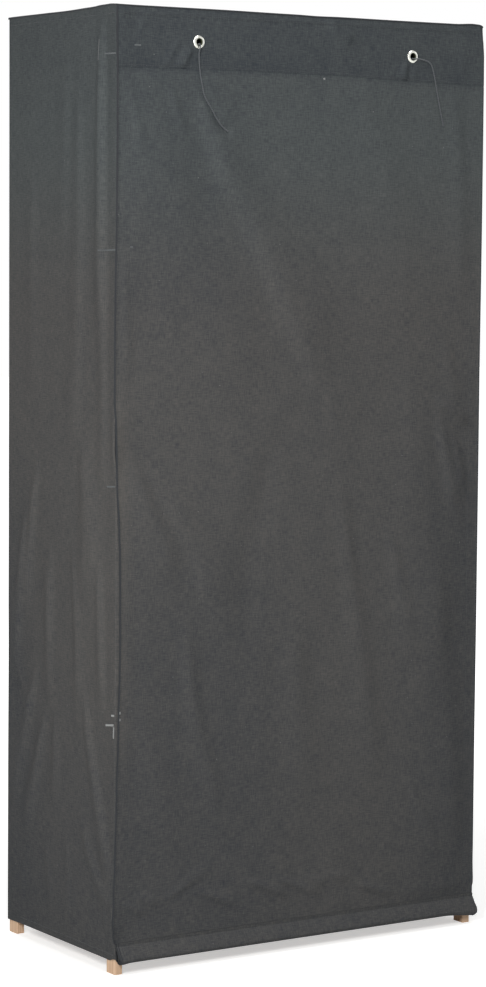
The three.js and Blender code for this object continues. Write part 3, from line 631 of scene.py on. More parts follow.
cover = {
    "columns": 128,
    "rows": 250,
    "bottom": 58.4,
    "rise": 2.5,  # how far it goes up behind the header
    "turn": 0.75,
    "allowance": 16,
    "binding": 3.1,
    "leftEdge": [(58, -399.5), (75, -404.4), (102, -406), (135, -403.5), (200, -400.2), (333, -397.2),
                 (431, -394), (582, -390.6), (688, -390.4), (750, -391.2), (793, -393.2), (869, -397.8),
                 (925, -401.4), (968, -402.6), (1021, -404), (1100, -404.4), (1177, -403.8), (1345, -400.2),
                 (1453, -399.2), (1556, -399.2), (1600, -399.6)],
    "leftFlare": [(58, 0.6), (80, 3.4), (110, 2.4), (160, 0.4), (640, 0.2), (880, 0.3), (922, 4.2), (972, 3.8),
                  (1010, 0.6), (1100, 1.4), (1200, 1.4), (1300, 0.2), (1600, 0)],
    "rightEdge": [(58, 393.4), (66, 393.8), (80, 396), (121, 394.8), (276, 394.8), (584, 395.6), (888, 395.8),
                  (1040, 395.6), (1340, 396.6), (1489, 396.6), (1600, 396.4)],
    "folds": [
        # a valley across the upper part, between a broad rise and a crisp one
        ([(-222, 1560), (-208, 1490), (-174, 1404), (-122, 1335), (-75, 1246), (-34, 1171), (-3, 1117),
          (30, 1040)], 84, 24, 13.0),
        ([(-342, 1560), (-316, 1440), (-270, 1320), (-216, 1210), (-160, 1110), (-110, 1030)], 80, 170, 7.0),
        ([(-226, 1562), (-214, 1500)], 6, 7, 1.3),
        ([(-288, 1564), (-274, 1520), (-262, 1486)], 9, 12, 3.4),
        ([(-374, 1570), (-360, 1505), (-350, 1450)], 11, 10, 2.8),
        ([(120, 1580), (170, 1450), (200, 1300), (190, 1100)], 60, 60, 4.0),
        # left edge
        ([(-384, 1262), (-383, 1200), (-382, 1120), (-384, 1060)], 13, 10, 4.0),
        ([(-372, 905), (-350, 868), (-328, 820), (-300, 765), (-284, 700)], 26, 40, 6.0),
        ([(-304, 856), (-262, 800), (-225, 740), (-190, 640)], 62, 22, 5.4),
        # middle and lower part
        ([(80, 840), (92, 760), (106, 678), (124, 560), (140, 452), (154, 384), (160, 330)], 26, 32, 4.8),
        ([(186, 770), (200, 728), (219, 640), (240, 530)], 18, 20, 3.2),
        ([(-252, 600), (-243, 508), (-226, 417), (-204, 351), (-178, 260)], 24, 24, 4.8),
        ([(-352, 500), (-322, 390), (-296, 280), (-280, 200)], 42, 34, 1.8),
        ([(-60, 960), (-110, 760), (-130, 560)], 50, 44, -3.9),
        ([(-20, 600), (-10, 420), (20, 280)], 40, 44, 4.6),
        # long bulge beside the right edge
        ([(244, 1040), (262, 880), (276, 760), (291, 620), (300, 520)], 80, 90, 5.5),
        ([(284, 700), (304, 474), (322, 319), (336, 160), (340, 100)], 58, 100, 10.0),
        ([(314, 1120), (328, 1050), (340, 970)], 20, 30, 2.4),
        ([(296, 1004), (335, 982), (374, 958)], 10, 12, 7.0),
        ([(298, 960), (320, 885), (338, 800)], 32, 15, 7.0),
        ([(338, 930), (350, 884), (360, 840)], 13, 14, 3.8),
        ([(240, 296), (262, 240), (290, 190), (306, 156)], 9, 14, 3.2),
        ([(330, 1580), (344, 1400), (352, 1200)], 26, 30, 4.0),
        # short creases over the hem
        ([(-292, 124), (-244, 150), (-196, 175)], 14, 9, 2.2),
        ([(-384, 129), (-348, 111), (-338, 108)], 12, 8, 3.8),
        ([(-356, 139), (-320, 123), (-310, 119)], 12, 8, 3.4),
        ([(-222, 132), (-150, 101)], 12, 7, 3.8),
        ([(-118, 138), (-36, 105)], 13, 7, 4.2),
        ([(-58, 136), (36, 100)], 13, 7, 3.6),
        ([(10, 133), (50, 113)], 11, 7, 3.6),
        ([(66, 132), (98, 117)], 11, 7, 3.6),
        ([(128, 104), (200, 80)], 12, 8, 3.4),
    ],
    "ripples": [(1.4, 95, 420, 1), (0.8, 42, 130, 2), (0.3, 17, 40, 3), (0.5, 15, 60, 4, (120, 60)),
                (0.4, 20, 70, 5, (1540, 1590))],
    "tapes": (22, 36),  # how far from an edge hollows start, beside the tapes
    "deepest": -4,
    "edgeHold": (-4, 50), "seamHold": (0, 26), "hemHold": (56, 82),  # where its folds start and are full
    "flareReach": (26, 0), "slackFrom": (58, 88), "tuck": 0.9, "tuckReach": (3.2, 0),
    # painted light and shade: the cover is darker towards the bottom, under the top and towards the right edge,
    # and lighter and darker in broad patches
    "fadeAndShade": [(0.44,), (0.03, ("z", 100, 600)), (-0.05, ("z", 1450, 1600)), (-0.15, ("x", 130, 410)),
             (0.105, ("x", 130, 410), ("z", 700, 1100)), (0.05, ("x", 20, 270), ("z", 850, 1250)),
             (-0.11, ("x", 60, -160), ("z", 860, 560)), (-0.09, ("x", -60, -240), ("z", 1060, 1220)),
             (-0.13, ("drop", 10, 0)),  # painted shade under the header's edge
             (0.2, ("x", -354, -396), ("z", 330, 440), ("z", 1080, 960))],  # painted light along the left edge
}


def coverY(x, z):
    # the cover's outer face at a place seen from the front
    left, right = tableAt(cover["leftEdge"], z), tableAt(cover["rightEdge"], z)
    edge, drop = np.minimum(x - left, right - x), tableAt(panels["seam"], x) - z
    lift = foldsAt(cover["folds"], x, z) + ripples(cover["ripples"], x, z)
    lift = np.where(lift < 0, lift * ramp(edge, *cover["tapes"]), lift)
    held = ramp(edge, *cover["edgeHold"]) * ramp(drop, *cover["seamHold"]) * ramp(z, *cover["hemHold"])
    flare = tableAt(cover["leftFlare"], z) * ramp(x - left, *cover["flareReach"])
    slack = frontSlack(x, z) * ramp(z, *cover["slackFrom"])
    tuck = cover["tuck"] * ramp(drop, *cover["tuckReach"])  # it passes behind the header
    return panels["front"] + tuck - cordHollow(x, z, np.maximum(lift, cover["deepest"]) * held + flare + slack)


def acrossStations(look):
    # shares of the width, shifts from them, depths behind the face, and whether the binding covers each face
    offsets, depths = turnedEdge(look["turn"], look["allowance"], look["binding"])
    inner = np.linspace(0, 1, look["columns"] + 1)[1:-1]
    shares = np.concatenate([np.zeros(len(offsets)), inner, np.ones(len(offsets))])
    shifts = np.concatenate([offsets, offsets[-1] * (1 - 2 * inner), -offsets[::-1]])
    behind = np.concatenate([depths, np.zeros(len(inner)), depths[::-1]])
    faces = np.arange(len(shares) - 1)
    return shares, shifts, behind, np.isin(np.minimum(faces, faces[::-1]), boundColumns)


def betweenEdges(look, guess, share, shifts):
    return tableAt(look["leftEdge"], guess) * (1 - share) + tableAt(look["rightEdge"], guess) * share + shifts


def makeCover():
    shares, shifts, behind, bound = acrossStations(cover)
    up, share = np.meshgrid(finerStart(0, 0.06, 1, 30, cover["rows"]), shares, indexing="ij")
    bottom = cover["bottom"]
    x = betweenEdges(cover, bottom + up * (panels["seam"][0][1] - bottom), share, shifts)
    z = bottom + up * (tableAt(panels["seam"], x) + cover["rise"] - bottom)
    points = np.stack([x, coverY(x, z) + behind, z], axis=-1)
    steps = np.hypot(np.diff(shifts + 2 * panels["halfWidth"] * shares), np.diff(behind))
    reach = np.concatenate([[0], np.cumsum(steps)])
    flat = np.stack(np.broadcast_arrays(reach[None, :], z), axis=-1)
    fadeAndShade = fadeAndShadeAt(cover["fadeAndShade"], x=x, z=z, drop=tableAt(panels["seam"], x) - z)
    piece = sheetObject("front_cover_cloth", points, flat, panels["wall"], fadeAndShade, bound=bound)
    sewn(piece, "front_cover", (0.820, 1.538), "hung", ["front_header"], rolls=True)


makeCover()
print("front cover ready")


# Header: the band over the rolling cover, with its eyelet holes

header = {
    "columns": 200,
    "rows": 30,
    "turn": 0.75,
    "allowance": 4,
    "binding": 3.0,
    "eyelets": [(-231.5, 1644.5), (231.5, 1637.5)],
    "holeRadius": 6.5,
    "topGap": 1.4,  # under the top of the seam
    "underIn": 0.5, "underDown": 0.15,  # how far the lower edge is folded under
    "leftEdge": [(1590, -399.4), (1617, -400.2), (1660, -400.8), (1700, -402)],
    "rightEdge": [(1589, 396.4), (1640, 396), (1668, 394.6), (1684, 392), (1700, 389.4)],
    "folds": [
        ([(-246, 1634), (-260, 1614), (-268, 1592)], 10, 14, 4.6),
        ([(-272, 1644), (-290, 1618), (-298, 1596)], 8, 10, 2.0),
        ([(46, 1694), (66, 1676), (98, 1660)], 12, 20, 6.4),
        ([(30, 1690), (60, 1664), (96, 1650)], 10, 10, -0.5),
        ([(220, 1630), (212, 1608), (214, 1586)], 9, 12, 5.0),
        ([(240, 1620), (237, 1604), (239, 1590)], 7, 7, 1.4),
        ([(-340, 1690), (-352, 1650), (-356, 1600)], 12, 14, 1.2),
        ([(340, 1690), (352, 1650), (346, 1600)], 14, 12, 1.2),
    ],
    "ripples": [(0.5, 70, 60, 11), (0.25, 26, 40, 12)],
    "eyeletHold": (12, 24), "edgeHold": (0, 20), "seamHold": (-2, 10), "topHold": (0, 9), "deepest": -0.25,
    # drop below the top, height and width: the seam allowance's edge, and the hollow under it
    "creases": [(10.5, 0.9, 2.4), (16, -0.35, 2.0)],
    "creaseHold": (0, 12),
    "fadeAndShade": [(0.18,), (0.06, ("rise", 0, 60)), (0.05, ("x", -150, 200))],
}


def headerY(x, z):
    lift = foldsAt(header["folds"], x, z) + ripples(header["ripples"], x, z)
    for eyeletX, level in header["eyelets"]:
        lift = lift * ramp(np.hypot(x - eyeletX, z - level), *header["eyeletHold"])
    edge, drop = panels["halfWidth"] - np.abs(x), panels["top"] - z
    held = ramp(z - tableAt(panels["seam"], x), *header["seamHold"]) * ramp(drop, *header["topHold"])
    lift = np.maximum(lift, header["deepest"]) * ramp(edge, *header["edgeHold"]) * held
    crease = sum(rise * np.exp(-((drop - level) / width) ** 2) for level, rise, width in header["creases"])
    lift = lift + crease * ramp(edge, *header["creaseHold"]) + frontSlack(x, z)
    return panels["front"] - cordHollow(x, z, lift)


def makeHeader():
    shares, shifts, behind, bound = acrossStations(header)
    up, share = np.meshgrid(np.linspace(0, 1, header["rows"] + 1), shares, indexing="ij")
    lowest = panels["seam"][-1][1]
    x = betweenEdges(header, lowest + up * (panels["top"] - lowest), share, shifts)
    seam = tableAt(panels["seam"], x)
    z = seam + up * (seamTop(x, panels["front"]) - header["topGap"] - seam)
    y = headerY(x, z) + behind
    under = np.stack([x[0], y[0] + header["underIn"], z[0] - header["underDown"]], axis=-1)[None]
    points = np.concatenate([under, np.stack([x, y, z], axis=-1)])
    across = np.cumsum(np.linalg.norm(np.diff(points[10], axis=0, prepend=points[10][:1]), axis=1))
    upward = np.cumsum(np.linalg.norm(np.diff(points[:, 100], axis=0, prepend=points[:1, 100]), axis=1))
    flat = np.stack(np.meshgrid(across, upward + 1540), axis=-1)
    fadeAndShade = fadeAndShadeAt(header["fadeAndShade"], x=points[..., 0], rise=points[..., 2] - seam.min())
    piece = sheetObject("front_header_cloth", points, flat, panels["wall"], fadeAndShade, bound=bound)
    for eyeletX, level in header["eyelets"]:
        bpy.ops.object.select_all(action="DESELECT")
        bpy.ops.mesh.primitive_cylinder_add(vertices=32, radius=header["holeRadius"] * mm, depth=20 * mm,
                                            location=place((eyeletX, panels["front"], level)),
                                            rotation=(quarter, 0, 0))
        punch = bpy.context.active_object
        alone(piece)
        bpy.ops.object.modifier_add(type="BOOLEAN")
        hole = piece.modifiers[-1]
        hole.object = punch
        hole.operation = "DIFFERENCE"
        hole.solver = "EXACT"
        bpy.ops.object.modifier_apply(modifier=hole.name)
        bpy.data.objects.remove(punch)
    sewn(piece, "front_header", (0.800, 0.120), "stretched", ["top_front_rail"],
         with_pieces=["left_eyelet", "right_eyelet"])


makeHeader()
print("header ready")


# Side panels: each wraps round the posts at the front and the back

sides = {
    "columns": 76,
    "rows": 250,
    "lipY": -198.4,
    "lipEnd": 385,
    "rolledHem": (1461, 30),  # height of the raised hem's middle, and how far from it the lip lies flat
    "topGap": 1.2,
    "frontCorner": [(24, 1.2), (60, 2), (100, 3), (135, 1.4), (300, 1), (860, 1), (900, 2.6), (965, 2.6),
                    (1000, 1.4), (1700, 1.6)],
    # how far the panel's front edge stands out beside the cover, where the corner gapes
    "cornerBulge": [(24, 0.5), (50, 2), (70, 5), (90, 6.4), (110, 5), (145, 0.6), (880, 0), (922, 2.4),
                    (972, 2.4), (1000, 0), (1700, 0)],
    "cornerReach": 26,
    # how far the left panel stands off the back post, by height, and how far forwards that reaches
    "rearSlack": [(24, 2.2), (300, 1.6), (600, 0.6), (830, 0), (1100, -0.4), (1700, -0.6)],
    "rearReach": 60,
    "cornerRise": 5,  # of its hem, round the post
    # how far the front lip falls back from the cover's edge, where a dark gap stands open between them
    "gap": [(24, 0), (66, 0.4), (80, 4.2), (116, 3.6), (138, 0.2), (890, 0.2), (922, 3.8), (972, 3.8),
            (998, 0.2), (1700, 0)],
    "boundGap": 0.3,  # its front edge gets the dark binding only where the gap is wider than this: painted shade in the gap, partly the edge's binding
    "backCorner": [(24, 2.6), (800, 3.4), (1700, 5.4)],
    "left": [
        ([(-148, 1668), (-147, 1489), (-148, 1315), (-151, 1110)], 26, 13, 10.5),
        ([(-152, 1120), (-154, 966), (-150, 850)], 26, 18, 5.0),
        ([(-66, 1560), (-66, 1298), (-60, 1138), (-50, 1014), (-54, 930)], 36, 22, 5.4),
        ([(-20, 1620), (-14, 1480), (-8, 1300)], 30, 26, 3.4),
        ([(-84, 930), (-96, 850), (-102, 760), (-92, 640)], 36, 46, 10.0),
        ([(-144, 720), (-147, 600), (-152, 480)], 18, 10, 6.4),
        ([(-48, 740), (-62, 620), (-68, 430)], 18, 22, 5.6),
        ([(50, 720), (44, 640), (30, 560)], 26, 12, 4.0),
        ([(-92, 480), (-102, 430), (-128, 341), (-149, 273), (-183, 162)], 24, 13, 8.4),
        ([(-82, 252), (-112, 196), (-148, 150), (-186, 122)], 18, 12, 6.0),
        ([(36, 740), (36, 645), (44, 540), (38, 460)], 18, 14, 4.8),
        ([(22, 430), (18, 360), (26, 280)], 14, 20, 4.2),
        ([(126, 800), (134, 710), (158, 596), (172, 510)], 24, 14, 9.0),
        ([(88, 880), (112, 740), (130, 620)], 24, 14, 7.0),
        ([(56, 420), (90, 305), (130, 200)], 26, 14, 9.0),
        ([(170, 520), (140, 470), (112, 430)], 10, 16, 3.0),
        ([(90, 500), (130, 380), (177, 260)], 26, 14, 8.6),
        ([(104, 1420), (112, 1200), (100, 1000)], 28, 26, 3.2),
        ([(60, 200), (40, 130), (36, 70)], 10, 10, 2.6),
        ([(120, 180), (140, 120), (150, 60)], 10, 10, 2.6),
        ([(-20, 220), (-30, 140), (-26, 70)], 11, 11, 2.6),
        ([(-150, 120), (-170, 80), (-186, 52)], 7, 7, 2.6),
    ],
    "right": [
        ([(-144, 1660), (-142, 1400), (-146, 1050)], 16, 11, 8.0),
        ([(-56, 1520), (-64, 1300), (-60, 1060)], 24, 18, 7.4),
        ([(-112, 900), (-134, 620), (-136, 380)], 16, 13, 8.0),
        ([(20, 820), (30, 560), (24, 400)], 16, 13, 7.4),
        ([(100, 920), (150, 680), (168, 520)], 14, 13, 7.4),
        ([(88, 520), (150, 300), (170, 180)], 14, 13, 7.2),
        ([(-60, 500), (-100, 320), (-150, 150)], 15, 12, 7.6),
        ([(60, 1460), (84, 1220), (70, 1000)], 26, 26, 6.4),
        ([(0, 200), (-16, 130), (-14, 70)], 11, 11, 2.6),
        ([(90, 180), (110, 120), (120, 60)], 10, 10, 2.6),
    ],
    "seeds": {-1: 21, 1: 31},  # of the left panel and of the right one, to which the rows below add
    "ripples": [(0.7, 60, 360, 0), (0.4, 26, 130, 1), (0.18, 13, 42, 2), (0.45, 14, 50, 3, (90, 30))],
    "lipShare": 0.9,  # of the slack, by which the lip comes forwards
    "rearShares": (0.3, 0.7, 1),  # of the slack, round the back corner
    "foldsBetween": (-197, 200), "edgeHold": (1, 27), "deepest": -0.1,
    "flatFrom": 900,  # where its pattern lies in the cloth, beside those of the other pieces
    # painted light and shade: the side panels are darker towards the bottom and the top, and in patches towards
    # the back
    "fadeAndShade": [(0.35,), (0.14, ("z", 60, 620)), (-0.09, ("z", 1440, 1680)),
             (-0.08, ("y", 10, 160), ("z", 840, 420)),
             (-0.1, ("y", 100, 160), ("z", 300, 500), ("z", 960, 760)),
             (0.05, ("y", -20, -100), ("z", 300, 500), ("z", 1100, 900))],
}


def heldAt(z):
    # the folds of the sides and the back die away at the hem and under the top
    return ramp(z, *panels["hemHold"]) * ramp(z, *panels["topHold"])


def sideX(side, y, z):
    # how far out the side panel's flat part lies, at a place seen from that side
    seed = sides["seeds"][side]
    lift = foldsAt(sides["left" if side < 0 else "right"], y, z) + ripples(sides["ripples"], y, z, seed)
    start, end = sides["foldsBetween"]
    edge = np.minimum(y - start, end - y)
    lift = np.maximum(lift, sides["deepest"]) * ramp(edge, *sides["edgeHold"]) * heldAt(z)
    bulge = tableAt(sides["cornerBulge"], z) * ramp(y - panels["front"], sides["cornerReach"], 0) * (side < 0)
    return panels["halfWidth"] + lift + sideSlack(side, y, z) + bulge


def sideCorner(side, z):
    # outer X, lip Y and radius of the panel's front corner
    slack = slackAt(side, z)
    gap, bulge = (tableAt(sides[key], z) * (side < 0) for key in ("gap", "cornerBulge"))
    level, reach = sides["rolledHem"]
    # flat where the raised hem rests
    forwards = sides["lipShare"] * slack * (1 - np.exp(-((z - level) / reach) ** 8))
    return panels["halfWidth"] + slack + bulge, sides["lipY"] - forwards + gap, tableAt(sides["frontCorner"], z)


def makeSide(name, side, restsOn):
    rows = finerStart(panels["hem"], 100, panels["top"], 24, sides["rows"])
    z = rows[:, None]
    outX, lipY, radius = sideCorner(side, z)
    back, half = panels["back"], panels["halfWidth"]
    rearRadius = tableAt(sides["backCorner"], z)
    rearAngles = np.radians((68, 45, 22))[None, :]
    faceShares = np.linspace(0, 1, sides["columns"] + 1)[None, :]
    frontAngles = np.radians((22, 45, 68, 90))[None, :]
    faceY = (back - rearRadius) * (1 - faceShares) + (lipY + radius) * faceShares
    turns = [back - rearRadius * (1 - np.sin(rearAngles)), lipY + radius * (1 - np.sin(frontAngles))]
    y = np.concatenate([turns[0], faceY, turns[1], lipY], axis=1)
    rearSlack = tableAt(sides["rearSlack"], z) * (side < 0)
    faceX = sideX(side, faceY, np.broadcast_to(z, faceY.shape))
    faceX = faceX + rearSlack * ramp(back - faceY, sides["rearReach"], 0)
    faceX[:, -1:] = outX
    turns = [half - rearRadius * (1 - np.cos(rearAngles)) + rearSlack * np.array(sides["rearShares"]),
             outX - radius * (1 - np.cos(frontAngles))]
    x = np.concatenate([turns[0], faceX, turns[1], np.full(z.shape, sides["lipEnd"])], axis=1)
    low = panels["hem"] + (sides["cornerRise"] * ramp(y, -177, -195) if side < 0 else 0)
    high = seamTop(side * half, np.clip(y, -200, 200)) - sides["topGap"]
    z = low + (np.broadcast_to(z, y.shape) - panels["hem"]) * (high - low) / (panels["top"] - panels["hem"])
    points = np.stack([side * x, y, z], axis=-1)
    across = np.cumsum(np.hypot(np.diff(x[100], prepend=x[100, :1]), np.diff(y[100], prepend=y[100, :1])))
    across = across[None, :] + sides["flatFrom"] * (side + 2)
    flat = np.stack(np.broadcast_arrays(across, rows[:, None]), axis=-1)
    lip = np.arange(y.shape[1] - 1) == y.shape[1] - 2
    # the lip's dark binding where the gap stands open is partly painted shade in the gap
    bound = lip & (tableAt(sides["gap"], rows[1:, None]) > sides["boundGap"])
    piece = sheetObject(name + "_cloth", points, flat, panels["wall"], fadeAndShadeAt(sides["fadeAndShade"], y=y, z=z),
                        flip=side > 0, bound=bound)
    sewn(piece, name, (0.409, 1.674), "stretched", restsOn)


makeSide("left_side_panel", -1, ["front_left_post", "back_left_post"])
makeSide("right_side_panel", 1, ["front_right_post", "back_right_post"])
print("side panels ready")


# Back and top panels

rear = {
    "columns": 96,
    "rows": 200,
    "folds": [
        ([(300, 1640), (292, 1300), (280, 900)], 22, 30, 8.0),
        ([(158, 1300), (60, 1000), (40, 620)], 24, 44, 9.0),
        ([(-90, 1160), (-60, 800), (-30, 420)], 34, 22, 8.0),
        ([(-280, 1600), (-270, 1200), (-262, 900)], 30, 22, 7.6),
        ([(-240, 760), (-300, 420), (-330, 200)], 20, 30, 8.4),
        ([(200, 700), (240, 360), (262, 140)], 20, 28, 7.6),
        ([(-120, 340), (-100, 180), (-96, 70)], 14, 12, 4.4),
        ([(60, 320), (40, 160), (44, 70)], 12, 16, 4.4),
    ],
    "ripples": [(1.0, 90, 400, 41), (0.45, 34, 130, 42), (0.5, 15, 55, 43, (90, 30))],
    "edgeHold": (0, 28), "deepest": -0.1,
    "edgeDip": 1.3, "edgeDipReach": (5, 0),  # where it goes in under the side panels' corners
    "edgeTuck": 0.6, "cornerShare": 0.625,  # how far under the side panels' corners, and of their radius
    "flatFrom": 3200,
    "fadeAndShade": [(0.47,), (-0.1, ("z", 1380, 1640))],
}


def rearEdge(side, z):
    # the back panel's edge, tucked under the side panel's turned corner
    slack = sides["rearShares"][0] * tableAt(sides["rearSlack"], z) * (side < 0)
    corner = rear["cornerShare"] * tableAt(sides["backCorner"], z)
    return panels["halfWidth"] - corner + slack + rear["edgeTuck"]


def rearY(x, z):
    lift = foldsAt(rear["folds"], x, z) + ripples(rear["ripples"], x, z)
    edge = np.minimum(rearEdge(-1, z) + x, rearEdge(1, z) - x)
    lift = np.maximum(lift, rear["deepest"]) * ramp(edge, *rear["edgeHold"]) * heldAt(z)
    return panels["back"] + lift - rear["edgeDip"] * ramp(edge, *rear["edgeDipReach"]) ** 2


def makeRear():
    rows = finerStart(panels["hem"], 100, panels["top"], 20, rear["rows"])
    share, z = np.meshgrid(np.linspace(0, 1, rear["columns"] + 1), rows)
    x = share * rearEdge(1, z) - (1 - share) * rearEdge(-1, z)
    low, high = panels["hem"], seamTop(x, panels["back"]) - sides["topGap"]
    z = low + (z - low) * (high - low) / (panels["top"] - low)
    points = np.stack([x, rearY(x, z), z], axis=-1)
    flat = np.stack([x + rear["flatFrom"], z], axis=-1)
    piece = sheetObject("back_panel_cloth", points, flat, panels["wall"], fadeAndShadeAt(rear["fadeAndShade"], z=z), flip=True)
    sewn(piece, "back_panel", (0.786, 1.674), "stretched", ["back_left_post", "back_right_post"])


makeRear()

top = {
    # the seam round the top is a bound bead: distances inwards from the face and heights from the seam's top
    "bead": [(-0.1, -3.0), (-0.9, -2.4), (-1.2, -1.3), (-0.8, -0.3), (0.2, 0.1), (1.3, -0.2), (2.1, -0.8),
             (3.4, -1.0)],
    "shoulder": [(6, -0.9), (10, -0.8), (16, -0.7), (26, -0.6)],
    "cornerRadius": 4.5,
    "lowest": 1699.2,  # over the posts and rails
    "boundRings": 6,  # of the bead, covered by the binding
    "columns": 70, "rows": 34,
    "ripples": [(0.6, 90, 60, 51), (0.25, 30, 24, 52)],
    "deepest": -0.2, "middleDrop": 0.6, "middleFrom": (8, 68),
    "flatFrom": 4200, "fadeAndShade": 0.4,
}


def topStations(profile, reach, count):
    # places across the top: the profile at both ends and even steps between them
    inner = profile[-1, 0]
    middle = np.linspace(-reach + inner, reach - inner, count)[1:-1]
    return np.concatenate([-reach + profile[:, 0], middle, (reach - profile[:, 0])[::-1]])


def fromRim(count):
    index = np.arange(count)
    return np.minimum(index, index[::-1])


def makeTop():
    profile = np.array(top["bead"] + top["shoulder"])
    half, deep, corner = panels["halfWidth"], panels["back"], top["cornerRadius"]
    alongX, alongY = topStations(profile, half, top["columns"]), topStations(profile, deep, top["rows"])
    x, y = np.meshgrid(alongX, alongY)
    ring = np.minimum(*np.meshgrid(fromRim(len(alongX)), fromRim(len(alongY))))
    ring = np.minimum(ring, len(profile) - 1)
    # corners of the grid are drawn in to a round
    u, v = corner - (half - np.abs(x)), corner - (deep - np.abs(y))
    radius = np.maximum(u, v)
    angle = math.pi / 4 * np.minimum(u, v) / np.maximum(radius, 1e-6)
    longer, shorter = radius * np.cos(angle), radius * np.sin(angle)
    inside = (u > 0) & (v > 0)
    x = np.where(inside, np.sign(x) * (half - corner + np.where(u >= v, longer, shorter)), x)
    y = np.where(inside, np.sign(y) * (deep - corner + np.where(u >= v, shorter, longer)), y)
    seam = seamTop(np.clip(x, -half, half), np.clip(y, -deep, deep))
    wrinkle = np.maximum(ripples(top["ripples"], x, y), top["deepest"])
    settled = ramp(np.minimum(half - np.abs(x), deep - np.abs(y)), *top["middleFrom"])
    z = (seam + profile[ring, 1]) * (1 - settled) + (panels["top"] - top["middleDrop"] + wrinkle) * settled
    z = np.where(ring > len(top["bead"]) - 2, np.maximum(z, top["lowest"]), z) - topSag(x, y)
    # the front corners stand off the posts with the panels below them
    reach = panels["slackReach"]
    for side in (-1, 1):
        slack = slackAt(side, np.full(x.shape, float(panels["top"])))
        slack = slack * ramp(half - side * x, reach, 0) * ramp(y + deep, reach, 0)
        x = x + side * slack
        y = y - slack
    points = np.stack([x, y, z], axis=-1)
    flat = np.stack([x + top["flatFrom"], y], axis=-1)
    bound = np.minimum(np.minimum(ring[:-1, :-1], ring[1:, :-1]), np.minimum(ring[:-1, 1:], ring[1:, 1:]))
    piece = sheetObject("top_panel_cloth", points, flat, panels["wall"], top["fadeAndShade"],
                        bound=bound < top["boundRings"])
    sewn(piece, "top_panel", (0.790, 0.400), "stretched", ["top_front_rail", "top_back_rail"])


makeTop()
print("back and top ready")


# Facings and tapes: strips behind the cover's side edges

strips = {
    "facing": {"inner": 355.5, "outer": 390.4, "y": -195.5, "wall": 1.0, "bottom": 24, "top": 1698.5},
    "hook": {"inner": 369.5, "outer": 389.5, "y": -197.0, "wall": 1.1, "bottom": 70, "top": 1582},
    "loop": {"inner": 369.5, "outer": 389.5, "y": -198.5, "wall": 1.1, "bottom": 70, "top": 1582},
    "columns": 9, "rows": 160, "flatFrom": 5200, "fadeAndShade": 0.35,
}


def makeStrip(name, look, side, material, seed):
    x, z = np.meshgrid(np.linspace(look["inner"], look["outer"], strips["columns"]),
                       np.linspace(look["bottom"], look["top"], strips["rows"]))
    y = look["y"] + ripples([(0.08, 30, 60, seed)], x * side, z)
    points = np.stack([side * x, y, z], axis=-1)
    flat = np.stack([x + strips["flatFrom"], z], axis=-1)
    return sheetObject(name + "_strip", points, flat, look["wall"], strips["fadeAndShade"], material, flip=side < 0)


for sideName, side in (("left", -1), ("right", 1)):
    names = {kind: f"{sideName}_{kind}" for kind in ("facing", "hook_tape", "loop_tape")}
    facing = makeStrip(names["facing"], strips["facing"], side, clothMaterial, 61)
    sewn(facing, names["facing"], (0.035, 1.675), "stretched", [f"front_{sideName}_post"])
    hook = makeStrip(names["hook_tape"], strips["hook"], side, hookMaterial, 62)
    sewn(hook, names["hook_tape"], (0.020, 1.512), "stretched", [names["facing"]], "hook_and_loop")
    loop = makeStrip(names["loop_tape"], strips["loop"], side, loopMaterial, 63)
    sewn(loop, names["loop_tape"], (0.020, 1.512), "stretched", ["front_cover"], "hook_and_loop", rolls=True)
print("strips ready")


# Hem sleeve: cloth round the rod, closed by a row of stitches

hem = {
    "columns": 200,
    "radius": 7.5,
    "middleY": -206.3,
    "bottom": 22.5,
    "top": 58,
    "left": -395.2,
    "leftSlant": 2.9,  # how far the left end slants in, from the stitches down
    "leftDroop": 2.6,
    "right": 396.6,
    # how far the open right end leans out, from the stitches (0) down to the lowest line (1)
    "rightLean": [(0, -1.3), (0.3, -1.4), (0.62, 1.2), (0.8, 0), (1, -3.6)],
    "backY": -198.8,
    "seamRise": 6,
    "droop": 5.6,  # at the open right end, beyond the rod
    "droopFrom": 322,
    # the bound rim of the open end: distances in from it and how far it stands out
    "rim": [(6.2, 0), (5.6, -0.6), (4.4, -0.6), (3.9, 0.35), (2.7, 0.5), (1.5, 0.3), (1.1, -0.2), (0.3, -0.1),
            (0, -0.5)],
    # bands of the rim that get the dark binding, which also paints the shade on the rim's curved edge
    "rimBound": ((4.2, 6.2), (0, 2.2)),
    "rimReach": 8,
    "slackFront": 1.1,  # how far the front hangs out between the rod and the stitches
    # how much fuller the sleeve is towards an end, which is shut at the left: share, end and reach
    "fuller": [(0.05, "right", 14), (-0.2, "left", 8)],
    "ripples": [(0.009, 60, 30, 71), (0.0075, 18, 18, 72)],
    "pucker": [(0.35, 9, 9, 73)],
    "puckerAt": (51, 4.5), "groove": 0.45, "grooveAt": (52, 1.1),  # height and half width along the stitches
    "leftDroopFrom": (-366, -394), "rightEndFrom": (376, 396), "leftEndFrom": (-376, -394),
    "nearest": -198.3,  # how near it may come to the facings
    "sewnY": -200, "frontAbove": 40,  # the front, which the stitches pucker
    "deepest": -0.1, "lowest": -0.6,  # below the pucker and below the bottom
    "fadeAndShade": [(0.37,), (-0.7, ("low", 0.9, 1.0))],  # painted shade along the lowest line, under the rod
}


